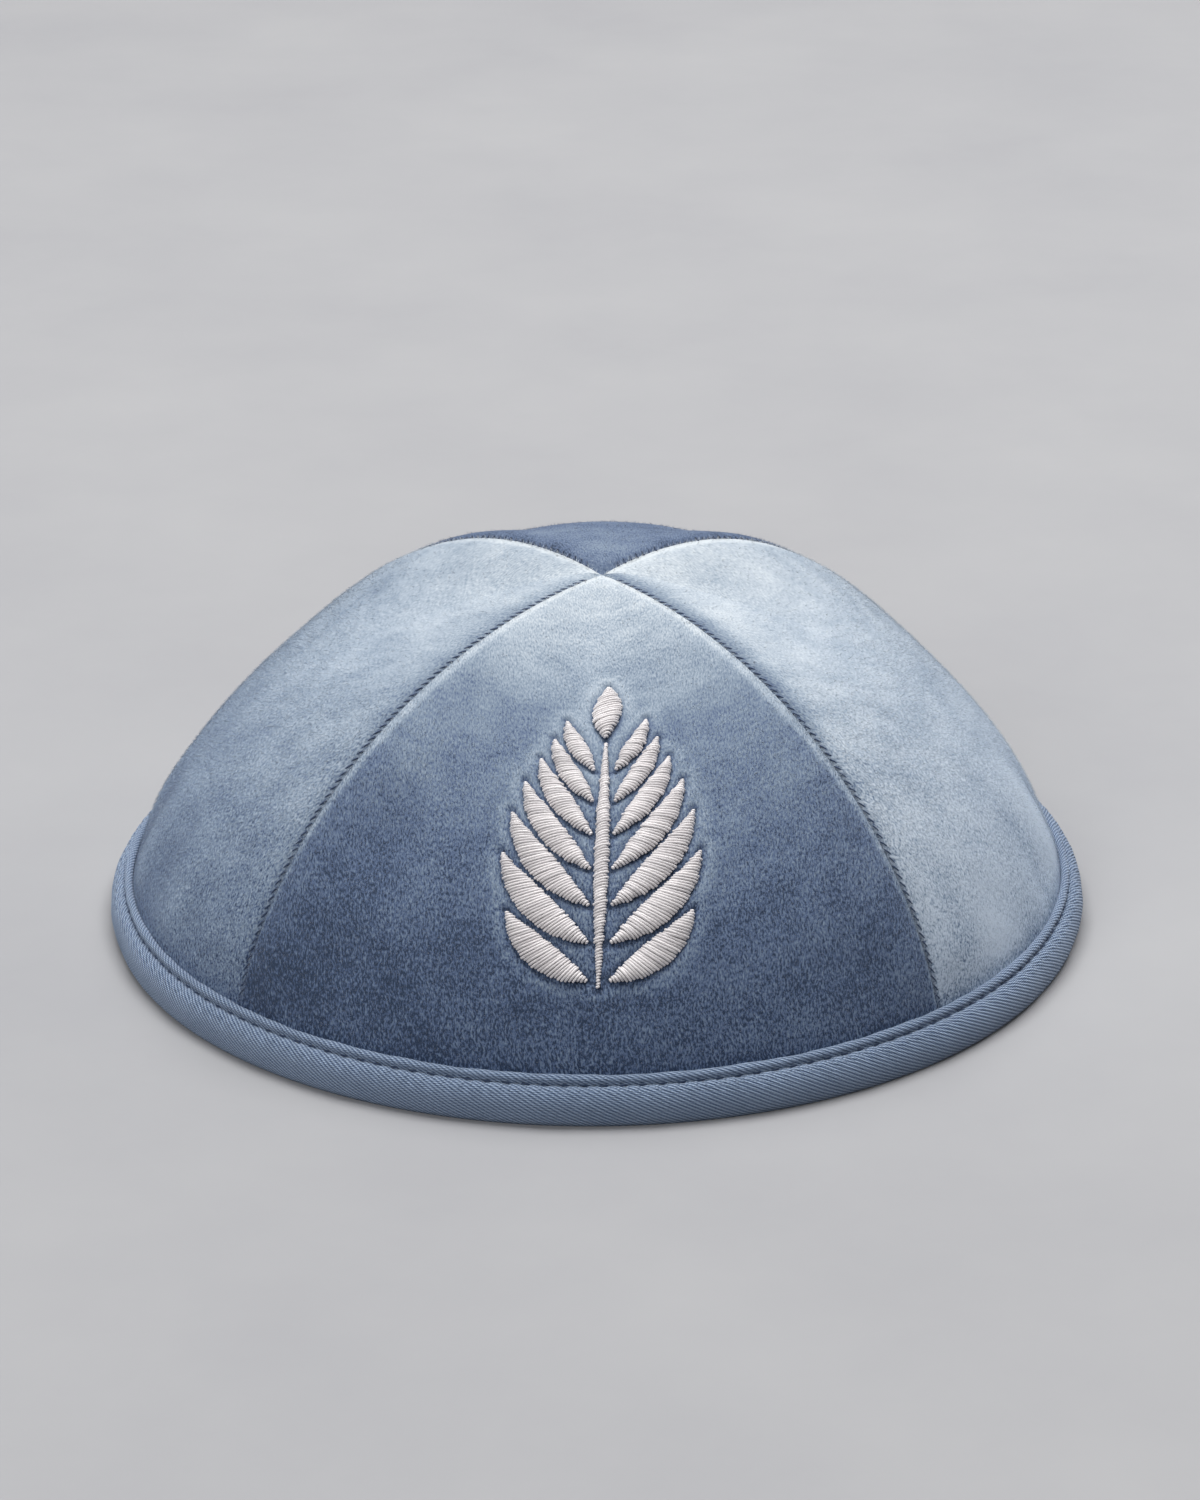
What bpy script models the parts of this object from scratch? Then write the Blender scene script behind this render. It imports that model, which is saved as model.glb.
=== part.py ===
"""Skullcap sewn from four velvet panels, with a bound rim and a raised embroidered sprig.

Lengths are in metres, +Z is up, the front panel faces -Y and the cap rests on Z = 0.
Right means +X, as seen by someone who faces the front panel.
"""

import math

import bmesh
import bpy
from mathutils import Vector

MM = 0.001

# Dome, on the outer face of the velvet
RIM_RADIUS = 81.8 * MM  # at the top edge of the binding
RIM_LEVEL = 7.6 * MM  # height of that edge
CROWN_LEVEL = 61.6 * MM  # height of the point where the seams cross
CROWN_LEAN = 1.3 * MM  # how far that point lies to the right of the middle
MERIDIAN_ARC = math.radians(76.5)  # each seam follows this much of a quarter ellipse
PANEL_FLATNESS = 2.7 * MM  # how far a panel's middle lies inside the round of the seams
BACK_FULLNESS = 4.5 * MM  # how much higher the back panel stands
SHOULDER_RISE = 0.9 * MM  # each panel puffs up beside its seams
SHOULDER_REACH = 4.5 * MM  # distance from the seam to the top of that puff
SHOULDER_END = 9.0 * MM  # the puff dies away over this height above the binding

# Cloth
WALL = 1.8 * MM  # velvet with its backing
CLEARANCE = 0.3 * MM  # left between pieces that touch

# Binding round the rim
LIP_RADIUS = 0.75 * MM  # the rolled upper edge of the tape
LIP_DROP = 0.6 * MM  # its centre below the end of the panels' visible face
GROOVE_DROP = 1.6 * MM  # the stitched groove below that end
GROOVE_TAPE = 0.9 * MM  # thickness of tape left in the groove
ROLL_REACH = 4.2 * MM  # how far the padded roll stands out past the rim radius
ROLL_START = math.radians(100)  # the roll's round back runs from the groove at this angle
ROLL_END = math.radians(-50)  # to this one, where it meets the flat foot
FOOT_INSET = 0.2 * MM  # the foot's inner edge inside the rim radius
FILLING_BELOW = 1.4 * MM  # tape and filling under the panels' raw edge
INNER_LEG = 0.9 * MM  # thickness of the tape inside the cap
INNER_LEG_DROP = 1.0 * MM  # the centre of its round top below the end of the panels' visible face

# Embroidered sprig on the front panel
SPRIG_FOOT = 14.0 * MM  # lower end of the stem above the binding, up the panel
SPRIG_HEIGHT = 58.0 * MM
SPRIG_SHIFT = 2.0 * MM  # to the right of the panel's middle
STEM_WIDTH = 2.2 * MM
STEM_SHARE = 0.78  # of the sprig's height
STITCH_RISE = 1.0 * MM  # height of the satin stitch above the velvet
LEAF_GAP = 0.7 * MM  # bare velvet between the stem and a leaf

# Mesh fineness
PANEL_COLUMNS = 22
PANEL_ROWS = 16
TUCK_ROWS = 2
EDGE_CROWDING = 0.7  # 0 spaces the columns evenly, 1 crowds them at the seams
BINDING_STEPS = 72
LEAF_SIDES = 8
LEAF_RINGS = 9

QUARTER = math.pi / 2
PANELS = (
    # name, azimuth of its middle, turning from the front to the right
    ("panel_front", 0.0),
    ("panel_right", QUARTER),
    ("panel_back", 2 * QUARTER),
    ("panel_left", -QUARTER),
)

# Soft folds and dents pressed into the panels. Each row gives the panel, the place across it
# (-1 to 1, seam to seam) and down it (0 crown to 1 rim), the half width as a share of the
# panel's half width, the half length as a share of the crown-to-rim arc, and the rise as a
# share of the shoulder rise, less than 0 for a dent.
FOLDS = (
    # panel, across, down, half_width, half_length, rise
    ("panel_left", 0.02, 0.90, 0.07, 0.13, -0.45),
    ("panel_left", -0.16, 0.90, 0.07, 0.12, 0.45),
    ("panel_left", 0.20, 0.91, 0.07, 0.12, 0.45),
    ("panel_left", 0.40, 0.92, 0.08, 0.12, -0.40),
    ("panel_left", 0.58, 0.93, 0.07, 0.10, 0.35),
    ("panel_right", -0.30, 0.90, 0.08, 0.14, -0.50),
    ("panel_right", -0.08, 0.89, 0.08, 0.13, 0.45),
    ("panel_right", 0.14, 0.90, 0.07, 0.12, -0.50),
    ("panel_right", 0.34, 0.91, 0.07, 0.12, 0.40),
    ("panel_front", -0.74, 0.66, 0.13, 0.08, -0.80),
    ("panel_front", -0.78, 0.50, 0.10, 0.07, 0.50),
    ("panel_front", 0.80, 0.90, 0.14, 0.06, -0.50),
    ("panel_front", -0.70, 0.86, 0.12, 0.06, -0.60),
    ("panel_back", 0.00, 0.42, 0.45, 0.28, 1.30),
    ("panel_back", -0.62, 0.38, 0.20, 0.15, -0.70),
    ("panel_back", 0.62, 0.38, 0.20, 0.15, -0.70),
)

# Pairs of leaves, from the lowest up. Foot, length and width are shares of the sprig's height,
# lean is the angle from the stem at the leaf's foot and curl how far the leaf bends back to it.
LEAF_PAIRS = (
    # foot, length, width, lean, curl in degrees
    (0.020, 0.310, 0.086, 72.0, 42.0),
    (0.130, 0.370, 0.090, 66.0, 42.0),
    (0.240, 0.370, 0.083, 60.0, 40.0),
    (0.350, 0.345, 0.075, 54.0, 36.0),
    (0.460, 0.300, 0.066, 48.0, 32.0),
    (0.570, 0.250, 0.058, 43.0, 28.0),
    (0.680, 0.200, 0.050, 38.0, 25.0),
)
TOP_LEAF = (0.800, 0.200, 0.082)  # foot, length, width, as shares of the sprig's height

VELVET_BLUE = (0.16, 0.235, 0.335, 1.0)
TWILL_BLUE = (0.15, 0.225, 0.33, 1.0)
SILVER_THREAD = (0.68, 0.65, 0.65, 1.0)


def clear_scene():
    for thing in list(bpy.data.objects):
        bpy.data.objects.remove(thing)


def new_collection(name):
    collection = bpy.data.collections.new(name)
    bpy.context.scene.collection.children.link(collection)
    return collection


def new_material(name, colour, roughness, sheen):
    material = bpy.data.materials.new(name)
    material.use_nodes = True
    shader = material.node_tree.nodes["Principled BSDF"]
    shader.inputs["Base Color"].default_value = colour
    shader.inputs["Roughness"].default_value = roughness
    shader.inputs["Metallic"].default_value = 0.0
    shader.inputs["Sheen Weight"].default_value = sheen
    return material


def ellipse_axes():
    """Half width and half height of the ellipse that a seam follows."""
    across = RIM_RADIUS / math.sin(MERIDIAN_ARC)
    up = (CROWN_LEVEL - RIM_LEVEL) / (1 - math.cos(MERIDIAN_ARC))
    return across, up


def meridian(turn):
    """Radius, height and outward normal of a seam's curve, turn radians down from the crown."""
    across, up = ellipse_axes()
    radius = across * math.sin(turn)
    height = RIM_LEVEL + up * (math.cos(turn) - math.cos(MERIDIAN_ARC))
    normal = Vector((up * math.sin(turn), across * math.cos(turn))).normalized()
    return radius, height, normal


def meridian_length(turn, steps=48):
    """Length of the seam's curve from the crown down to turn."""
    across, up = ellipse_axes()
    total = 0.0
    for i in range(steps):
        middle = turn * (i + 0.5) / steps
        total += math.hypot(across * math.cos(middle), up * math.sin(middle)) * turn / steps
    return total


def smooth(share):
    share = min(max(share, 0.0), 1.0)
    return share * share * (3 - 2 * share)


def half_angle(radius):
    """Half the angle that a panel spans at this radius, with the seam's clearance taken off."""
    return QUARTER / 2 - math.asin(min(math.sin(QUARTER / 2), CLEARANCE / 2 / radius))


def fold_rise(panel, across, down):
    total = 0.0
    for name, fold_across, fold_down, half_width, half_length, rise in FOLDS:
        if name == panel:
            sideways = (across - fold_across) / half_width
            lengthways = (down - fold_down) / half_length
            total += rise * SHOULDER_RISE * math.exp(-sideways**2 - lengthways**2)
    return total


def dome_point(panel, middle, across, turn, lift=0.0, tuck=0.0):
    """A point of a panel's outer face, lift above it.

    across runs from -1 at one seam to 1 at the other, turn is the angle down from the
    crown, and tuck is how far the point lies below the rim, inside the binding.
    """
    radius, height, normal = meridian(turn)
    reach = radius / RIM_RADIUS
    bell = 4 * reach * (1 - reach)
    angle = across * half_angle(radius)
    seam_distance = radius * (half_angle(radius) - abs(angle)) / SHOULDER_REACH
    to_rim = meridian_length(MERIDIAN_ARC) - meridian_length(turn)
    fade = smooth(to_rim / SHOULDER_END)
    out = lift
    out -= PANEL_FLATNESS * math.cos(across * QUARTER) * bell
    out += SHOULDER_RISE * seam_distance * math.exp(1 - seam_distance) * fade
    out += fold_rise(panel, across, turn / MERIDIAN_ARC) * smooth(to_rim / (SHOULDER_END / 2))
    radius += out * normal.x + tuck * normal.y
    height += out * normal.y - tuck * normal.x
    azimuth = middle + angle
    backward = max(0.0, -math.cos(azimuth))
    return Vector(
        (
            radius * math.sin(azimuth) + CROWN_LEAN * (1 - reach * reach),
            -radius * math.cos(azimuth),
            height + BACK_FULLNESS * backward * bell,
        )
    )


def crowded(share):
    """Spreads -1..1 so that columns lie closer together near both ends."""
    return EDGE_CROWDING * math.sin(share * QUARTER) + (1 - EDGE_CROWDING) * share


def link_mesh(name, mesh_data, material, collection):
    mesh = bpy.data.meshes.new(name)
    mesh_data.to_mesh(mesh)
    mesh_data.free()
    mesh.materials.append(material)
    thing = bpy.data.objects.new(name, mesh)
    collection.objects.link(thing)
    return thing


def rim_frame():
    """The end of the panels' visible face, and the directions down and out of the wall there."""
    radius, height, outward = meridian(MERIDIAN_ARC)
    return Vector((radius, height)), Vector((outward.y, -outward.x)), outward


def slot_depth():
    """How far the binding's slot runs down along the wall, with the filling left under it."""
    rim, _, outward = rim_frame()
    return (rim.y - FILLING_BELOW - (WALL + CLEARANCE) * outward.y) / outward.x


def make_panel(name, middle, material, collection):
    """One velvet gore: a pointed sheet on the dome, thickened inwards and tucked in the slot."""
    rows = PANEL_ROWS + TUCK_ROWS
    tip_radius = CLEARANCE / 2 / math.sin(QUARTER / 2)
    tip_turn = math.asin(tip_radius / ellipse_axes()[0])
    sheet = bmesh.new()
    bmesh.ops.create_grid(sheet, x_segments=PANEL_COLUMNS, y_segments=rows, size=1.0)
    for vertex in sheet.verts:
        across = crowded(vertex.co.x)
        row = (1 - vertex.co.y) / 2 * rows
        down = min(row / PANEL_ROWS, 1.0)
        turn = tip_turn + (MERIDIAN_ARC - tip_turn) * down
        tuck = (slot_depth() - CLEARANCE) * max(0.0, row - PANEL_ROWS) / TUCK_ROWS
        vertex.co = dome_point(name, middle, across, turn, tuck=tuck)
    bmesh.ops.remove_doubles(sheet, verts=sheet.verts, dist=0.001 * MM)
    panel = link_mesh(name, sheet, material, collection)
    panel.data.shade_smooth()
    wall = panel.modifiers.new("wall", "SOLIDIFY")
    wall.thickness = WALL
    wall.offset = -1.0
    return panel


def arc(centre, half_width, half_height, first, last, count):
    """Points of an elliptical arc in the radius-height plane, angles in radians."""
    points = []
    for i in range(count):
        angle = first + (last - first) * i / (count - 1)
        points.append(centre + Vector((half_width * math.cos(angle), half_height * math.sin(angle))))
    return points


def binding_outline():
    """Closed outline of the folded tape in the radius-height plane, with a slot for the panels."""
    rim, down, outward = rim_frame()
    tilt = math.atan2(outward.y, outward.x)
    slot_end = slot_depth()

    def at(below, out):
        return rim + down * below + outward * out

    outline = []
    lip_centre = at(LIP_DROP, CLEARANCE + LIP_RADIUS)
    outline += arc(lip_centre, LIP_RADIUS, LIP_RADIUS, tilt + math.pi, tilt - 0.25 * math.pi, 6)
    groove = at(GROOVE_DROP, CLEARANCE + GROOVE_TAPE)
    outermost = RIM_RADIUS + ROLL_REACH
    half_width = (outermost - groove.x) / (1 - math.cos(ROLL_START))
    half_height = groove.y / (math.sin(ROLL_START) - math.sin(ROLL_END))
    roll_centre = Vector((outermost - half_width, -half_height * math.sin(ROLL_END)))
    outline += arc(roll_centre, half_width, half_height, ROLL_START, ROLL_END, 9)

    inner_face = -(WALL + CLEARANCE + INNER_LEG)
    leg_foot = at(slot_end, inner_face)
    outline.append(Vector((RIM_RADIUS - FOOT_INSET, 0.0)))
    outline.append(leg_foot)
    leg_centre = at(INNER_LEG_DROP, inner_face + INNER_LEG / 2)
    outline += arc(leg_centre, INNER_LEG / 2, INNER_LEG / 2, tilt + math.pi, tilt, 4)
    outline.append(at(slot_end, -(WALL + CLEARANCE)))
    outline.append(at(slot_end, CLEARANCE))
    return outline


def make_binding(name, material, collection):
    """Twill tape folded round the raw edge of the panels, turned about the cap's axis."""
    outline = bmesh.new()
    corners = [outline.verts.new((p.x, 0.0, p.y)) for p in binding_outline()]
    for first, second in zip(corners, corners[1:] + corners[:1]):
        outline.edges.new((first, second))
    binding = link_mesh(name, outline, material, collection)
    turn = binding.modifiers.new("turn", "SCREW")
    turn.axis = "Z"
    turn.angle = 4 * QUARTER
    turn.steps = BINDING_STEPS
    turn.render_steps = BINDING_STEPS
    turn.use_merge_vertices = True
    turn.merge_threshold = 0.01 * MM
    turn.use_smooth_shade = True
    return binding


def turn_at(distance):
    """Angle down from the crown of the point this far above the binding, up the panel."""
    low, high = 0.0, MERIDIAN_ARC
    full = meridian_length(MERIDIAN_ARC)
    for _ in range(40):
        middle = (low + high) / 2
        if full - meridian_length(middle) > distance:
            low = middle
        else:
            high = middle
    return (low + high) / 2


def sprig_point(sideways, up, lift):
    """A point of the sprig: sideways and up in the plane of the motif, lift above the velvet."""
    turn = turn_at(SPRIG_FOOT + up)
    radius = meridian(turn)[0]
    across = (sideways + SPRIG_SHIFT) / radius / half_angle(radius)
    return dome_point("panel_front", 0.0, across, turn, lift=lift)


def make_pad(name, centreline, width, material, collection):
    """A satin-stitched pad along a centreline: pointed ends, a round back and a flat base.

    centreline gives the middle and the sideways direction for a share of the length.
    """
    pad = bmesh.new()
    bmesh.ops.create_uvsphere(
        pad, u_segments=LEAF_SIDES, v_segments=LEAF_RINGS, radius=1.0
    )
    for vertex in pad.verts:
        share = 1 - math.acos(min(max(vertex.co.z, -1.0), 1.0)) / math.pi
        middle, sideways = centreline(share)
        spot = middle + sideways * (vertex.co.x * width / 2)
        rise = CLEARANCE + STITCH_RISE * max(0.0, vertex.co.y)
        vertex.co = sprig_point(spot.x, spot.y, rise)
    if pad.calc_volume(signed=True) < 0:
        bmesh.ops.reverse_faces(pad, faces=pad.faces)
    thing = link_mesh(name, pad, material, collection)
    thing.data.shade_smooth()
    return thing


def leaf_centreline(foot, length, lean, curl, side):
    """Middle line of a leaf that leans out from the stem and curls back up, in the motif's plane."""

    def at(share):
        angle = lean - curl * share
        sideways = (math.cos(angle) - math.cos(lean)) / curl
        up = (math.sin(lean) - math.sin(angle)) / curl
        root = STEM_WIDTH / 2 + LEAF_GAP
        middle = Vector((side * (root + length * sideways), foot + length * up))
        return middle, Vector((side * math.cos(angle), -math.sin(angle)))

    return at


def straight_centreline(foot, length):
    def at(share):
        return Vector((0.0, foot + length * share)), Vector((1.0, 0.0))

    return at


def make_sprig(material, collection):
    """The stem, a leaf at its top and the pairs of leaves beside it."""
    stem_length = STEM_SHARE * SPRIG_HEIGHT
    make_pad(
        "embroidered_stem", straight_centreline(0.0, stem_length), STEM_WIDTH, material, collection
    )
    foot, length, width = (share * SPRIG_HEIGHT for share in TOP_LEAF)
    make_pad("embroidered_leaf_top", straight_centreline(foot, length), width, material, collection)
    for number, (foot, length, width, lean, curl) in enumerate(LEAF_PAIRS, start=1):
        for hand, side in (("left", -1), ("right", 1)):
            line = leaf_centreline(
                foot * SPRIG_HEIGHT,
                length * SPRIG_HEIGHT,
                math.radians(lean),
                math.radians(curl),
                side,
            )
            label = f"embroidered_leaf_{hand}_{number}"
            make_pad(label, line, width * SPRIG_HEIGHT, material, collection)


def main():
    clear_scene()
    cap = new_collection("skullcap")
    velvet = new_material("blue_velvet", VELVET_BLUE, 0.85, 0.6)
    twill = new_material("blue_twill_tape", TWILL_BLUE, 0.8, 0.2)
    thread = new_material("silver_thread", SILVER_THREAD, 0.4, 0.2)
    for name, middle in PANELS:
        make_panel(name, middle, velvet, cap)
    make_binding("rim_binding", twill, cap)
    make_sprig(thread, cap)


main()
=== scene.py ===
"""Velvet skullcap: four velvet panels, a twill-bound rim, a satin-stitched sprig and their stitches.

Lengths are in metres, +Z is up, the front panel faces -Y and the cap rests on Z = 0.
"""

import math

import bpy
import numpy as np
from mathutils import Matrix, Vector


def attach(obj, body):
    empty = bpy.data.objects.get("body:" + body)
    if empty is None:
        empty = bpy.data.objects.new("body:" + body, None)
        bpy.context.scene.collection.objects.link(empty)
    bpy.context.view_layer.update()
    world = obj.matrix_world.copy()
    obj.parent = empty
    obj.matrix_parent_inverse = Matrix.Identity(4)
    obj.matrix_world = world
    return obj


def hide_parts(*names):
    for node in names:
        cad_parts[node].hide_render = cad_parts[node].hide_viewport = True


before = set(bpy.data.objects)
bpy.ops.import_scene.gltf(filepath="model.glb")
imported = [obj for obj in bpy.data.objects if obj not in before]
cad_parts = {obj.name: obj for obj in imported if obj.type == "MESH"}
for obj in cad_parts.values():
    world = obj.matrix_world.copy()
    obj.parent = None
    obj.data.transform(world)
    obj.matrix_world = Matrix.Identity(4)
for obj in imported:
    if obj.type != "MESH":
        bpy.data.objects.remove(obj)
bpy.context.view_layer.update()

MM = 0.001
QUARTER = math.pi / 2
FULL_TURN = 2 * math.pi

# Dome, as the solids have it
RIM_RADIUS = 81.8 * MM
RIM_LEVEL = 7.6 * MM
CROWN_LEVEL = 61.6 * MM
CROWN_LEAN = 1.3 * MM
MERIDIAN_ARC = math.radians(76.5)
PANEL_FLATNESS = 2.7 * MM
BACK_FULLNESS = 4.5 * MM
SHOULDER_RISE = 0.9 * MM
SHOULDER_REACH = 4.5 * MM
SHOULDER_END = 9.0 * MM
WALL = 1.8 * MM

# Binding, as the solids have it
LIP_RADIUS = 0.75 * MM
LIP_DROP = 0.6 * MM
GROOVE_DROP = 1.6 * MM
GROOVE_TAPE = 0.9 * MM
ROLL_REACH = 4.2 * MM
ROLL_START = math.radians(100)
ROLL_END = math.radians(-50)
FOOT_INSET = 0.2 * MM
FILLING_BELOW = 1.4 * MM
INNER_LEG = 0.9 * MM
INNER_LEG_DROP = 1.0 * MM
SLOT_CLEARANCE = 0.3 * MM

# Sprig, as the solids have it
SPRIG_FOOT = 14.0 * MM
SPRIG_HEIGHT = 58.0 * MM
SPRIG_SHIFT = 2.0 * MM
STEM_WIDTH = 2.2 * MM
STEM_SHARE = 0.78
STITCH_RISE = 1.0 * MM
LEAF_GAP = 0.7 * MM
LEAF_PAIRS = (
    # foot, length, width, lean, curl in degrees
    (0.020, 0.310, 0.086, 72.0, 42.0),
    (0.130, 0.370, 0.090, 66.0, 42.0),
    (0.240, 0.370, 0.083, 60.0, 40.0),
    (0.350, 0.345, 0.075, 54.0, 36.0),
    (0.460, 0.300, 0.066, 48.0, 32.0),
    (0.570, 0.250, 0.058, 43.0, 28.0),
    (0.680, 0.200, 0.050, 38.0, 25.0),
)
TOP_LEAF = (0.800, 0.200, 0.082)

# Soft folds and dents in the panels, as the solids have them
FOLDS = (
    # panel, across, down, half width, half length, rise
    ("left", 0.02, 0.90, 0.07, 0.13, -0.45),
    ("left", -0.16, 0.90, 0.07, 0.12, 0.45),
    ("left", 0.20, 0.91, 0.07, 0.12, 0.45),
    ("left", 0.40, 0.92, 0.08, 0.12, -0.40),
    ("left", 0.58, 0.93, 0.07, 0.10, 0.35),
    ("right", -0.30, 0.90, 0.08, 0.14, -0.50),
    ("right", -0.08, 0.89, 0.08, 0.13, 0.45),
    ("right", 0.14, 0.90, 0.07, 0.12, -0.50),
    ("right", 0.34, 0.91, 0.07, 0.12, 0.40),
    ("front", -0.74, 0.66, 0.13, 0.08, -0.80),
    ("front", -0.78, 0.50, 0.10, 0.07, 0.50),
    ("front", 0.80, 0.90, 0.14, 0.06, -0.50),
    ("front", -0.70, 0.86, 0.12, 0.06, -0.60),
    ("back", 0.00, 0.42, 0.45, 0.28, 1.30),
    ("back", -0.62, 0.38, 0.20, 0.15, -0.70),
    ("back", 0.62, 0.38, 0.20, 0.15, -0.70),
)

# Each panel: azimuth of its middle, and whether its left and right edges are folded over the
# neighbour's (1) or lie in the ditch under the neighbour's fold (-1)
PANELS = {
    "front": (0.0, 1, 1),
    "right": (QUARTER, -1, 1),
    "back": (2 * QUARTER, -1, -1),
    "left": (-QUARTER, 1, -1),
}

# Sewn edges, which the solids leave out
SEAM_GAP = 0.04 * MM
RIDGE_RISE = 0.38 * MM  # how proud the folded edge stands near the rim
RIDGE_RISE_SHARE = 0.45  # what is left of that towards the crown
RIDGE_PLACE = 0.42 * MM
RIDGE_WIDTH = 0.34 * MM
RIDGE_WIDTH_LOW = 0.62 * MM  # the fold is broader near the rim
RIDGE_LOW_REACH = 30 * MM
EDGE_ROUND = 0.40 * MM
EDGE_SOFT = 0.15 * MM
DITCH_DEPTH = 0.42 * MM
DITCH_WIDTH = 0.9 * MM
CROWN_SHARE = 0.025  # the sewn edges die out within this share of the rim's radius


def linear(hex_colour):
    """sRGB hex colour as linear RGBA."""
    channels = [int(hex_colour[i : i + 2], 16) / 255 for i in (1, 3, 5)]
    return (*[c / 12.92 if c <= 0.04045 else ((c + 0.055) / 1.055) ** 2.4 for c in channels], 1.0)


def plug(tree, node, sockets):
    """Gives a node's sockets a value, or a link where a node or an output is given."""
    for name, value in sockets.items():
        if isinstance(value, bpy.types.Node):
            value = value.outputs[0]
        if isinstance(value, bpy.types.NodeSocket):
            tree.links.new(value, node.inputs[name])
        else:
            node.inputs[name].default_value = value


def add(tree, kind, sockets=None, **settings):
    """Adds a node with its settings, and plugs in its sockets."""
    node = tree.nodes.new(kind)
    for name, value in settings.items():
        setattr(node, name, value)
    plug(tree, node, sockets or {})
    return node


def smooth(share):
    share = np.clip(share, 0.0, 1.0)
    return share * share * (3 - 2 * share)


def bump(distance, width):
    return np.exp(-((distance / width) ** 2))


RIPPLE_WAVES = 9


def ripple(x, y, wavelength, seed):
    """Soft random undulation of about this wavelength, mostly from -1 to 1."""
    chance = np.random.default_rng(seed)
    total = np.zeros(np.broadcast(x, y).shape)
    for _ in range(RIPPLE_WAVES):
        heading = chance.uniform(0, math.pi)
        length = wavelength * chance.uniform(0.7, 1.5)
        phase = chance.uniform(0, FULL_TURN)
        along = x * math.cos(heading) + y * math.sin(heading)
        total += np.sin(FULL_TURN * along / length + phase)
    return total / math.sqrt(RIPPLE_WAVES) / 1.5


# The dome

across_axis = RIM_RADIUS / math.sin(MERIDIAN_ARC)
up_axis = (CROWN_LEVEL - RIM_LEVEL) / (1 - math.cos(MERIDIAN_ARC))
arc_turns = np.linspace(0, MERIDIAN_ARC, 1500)
arc_steps = np.hypot(across_axis * np.diff(np.sin(arc_turns)), up_axis * np.diff(np.cos(arc_turns)))
arc_lengths = np.concatenate(([0.0], np.cumsum(arc_steps)))
SEAM_LENGTH = arc_lengths[-1]


def length_at(turn):
    return np.interp(turn, arc_turns, arc_lengths)


def turn_above_rim(distance):
    return np.interp(SEAM_LENGTH - distance, arc_lengths, arc_turns)


def meridian(turn):
    """Radius, height and the outward normal of a seam's curve."""
    radius = across_axis * np.sin(turn)
    height = RIM_LEVEL + up_axis * (np.cos(turn) - math.cos(MERIDIAN_ARC))
    out, up = up_axis * np.sin(turn), across_axis * np.cos(turn)
    size = np.hypot(out, up)
    return radius, height, out / size, up / size


def half_angle(radius):
    """Half of the angle that a panel spans at this radius, less the gap at its seams."""
    return QUARTER / 2 - np.arcsin(np.minimum(math.sin(QUARTER / 2), SEAM_GAP / 2 / radius))


def sewn_edge(distance, way, to_rim):
    """Rise of a panel beside its seam: a proud fold, or the ditch beside a neighbour's fold."""
    if way < 0:
        return -DITCH_DEPTH * bump(distance, DITCH_WIDTH)
    low = 1 - smooth(to_rim / RIDGE_LOW_REACH)
    width = RIDGE_WIDTH + (RIDGE_WIDTH_LOW - RIDGE_WIDTH) * low
    rise = RIDGE_RISE * (RIDGE_RISE_SHARE + (1 - RIDGE_RISE_SHARE) * low)
    ridge = rise * bump(distance - RIDGE_PLACE - (width - RIDGE_WIDTH), width)
    return ridge - EDGE_ROUND * bump(distance, EDGE_SOFT)


def fold_rise(panel, across, turn):
    """Rise of a panel's soft folds, as a share of the shoulder's."""
    folds = 0.0 * across * turn
    for name, fold_across, fold_down, half_width, half_length, rise in FOLDS:
        if name == panel:
            down = turn / MERIDIAN_ARC
            shape = bump(across - fold_across, half_width) * bump(down - fold_down, half_length)
            folds = folds + rise * shape
    return folds


def panel_point(panel, across, turn, lift=0.0, tuck=0.0):
    """Points of a panel's outer face, lift above it, with the folds and the sewn edges."""
    middle, left_way, right_way = PANELS[panel]
    radius, height, out_share, up_share = meridian(turn)
    reach = radius / RIM_RADIUS
    bell = 4 * reach * (1 - reach)
    angle = across * half_angle(radius)
    edge = radius * (half_angle(radius) - np.abs(angle))
    to_rim = SEAM_LENGTH - length_at(turn)
    puff = edge / SHOULDER_REACH
    out = lift - PANEL_FLATNESS * np.cos(across * QUARTER) * bell
    out = out + SHOULDER_RISE * puff * np.exp(1 - puff) * smooth(to_rim / SHOULDER_END)
    folds = fold_rise(panel, across, turn) * SHOULDER_RISE
    out = out + folds * smooth(to_rim / (SHOULDER_END / 2))
    way = np.where(across < 0, left_way, right_way)
    sewn = np.where(way > 0, sewn_edge(edge, 1, to_rim), sewn_edge(edge, -1, to_rim))
    out = out + sewn * smooth(reach / CROWN_SHARE)
    radius = radius + out * out_share + tuck * up_share
    height = height + out * up_share - tuck * out_share
    azimuth = middle + angle
    backward = np.maximum(0.0, -np.cos(azimuth))
    x = radius * np.sin(azimuth) + CROWN_LEAN * (1 - reach * reach)
    y = -radius * np.cos(azimuth)
    return np.stack((x, y, height + BACK_FULLNESS * backward * bell), axis=-1)


def sprig_point(sideways, up, lift):
    """Points of the sprig: sideways and up in the plane of the motif, lift above the velvet."""
    turn = turn_above_rim(SPRIG_FOOT + up)
    radius = meridian(turn)[0]
    across = (sideways + SPRIG_SHIFT) / radius / half_angle(radius)
    return panel_point("front", across, turn, lift=lift)


# Meshes from arrays


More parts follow.
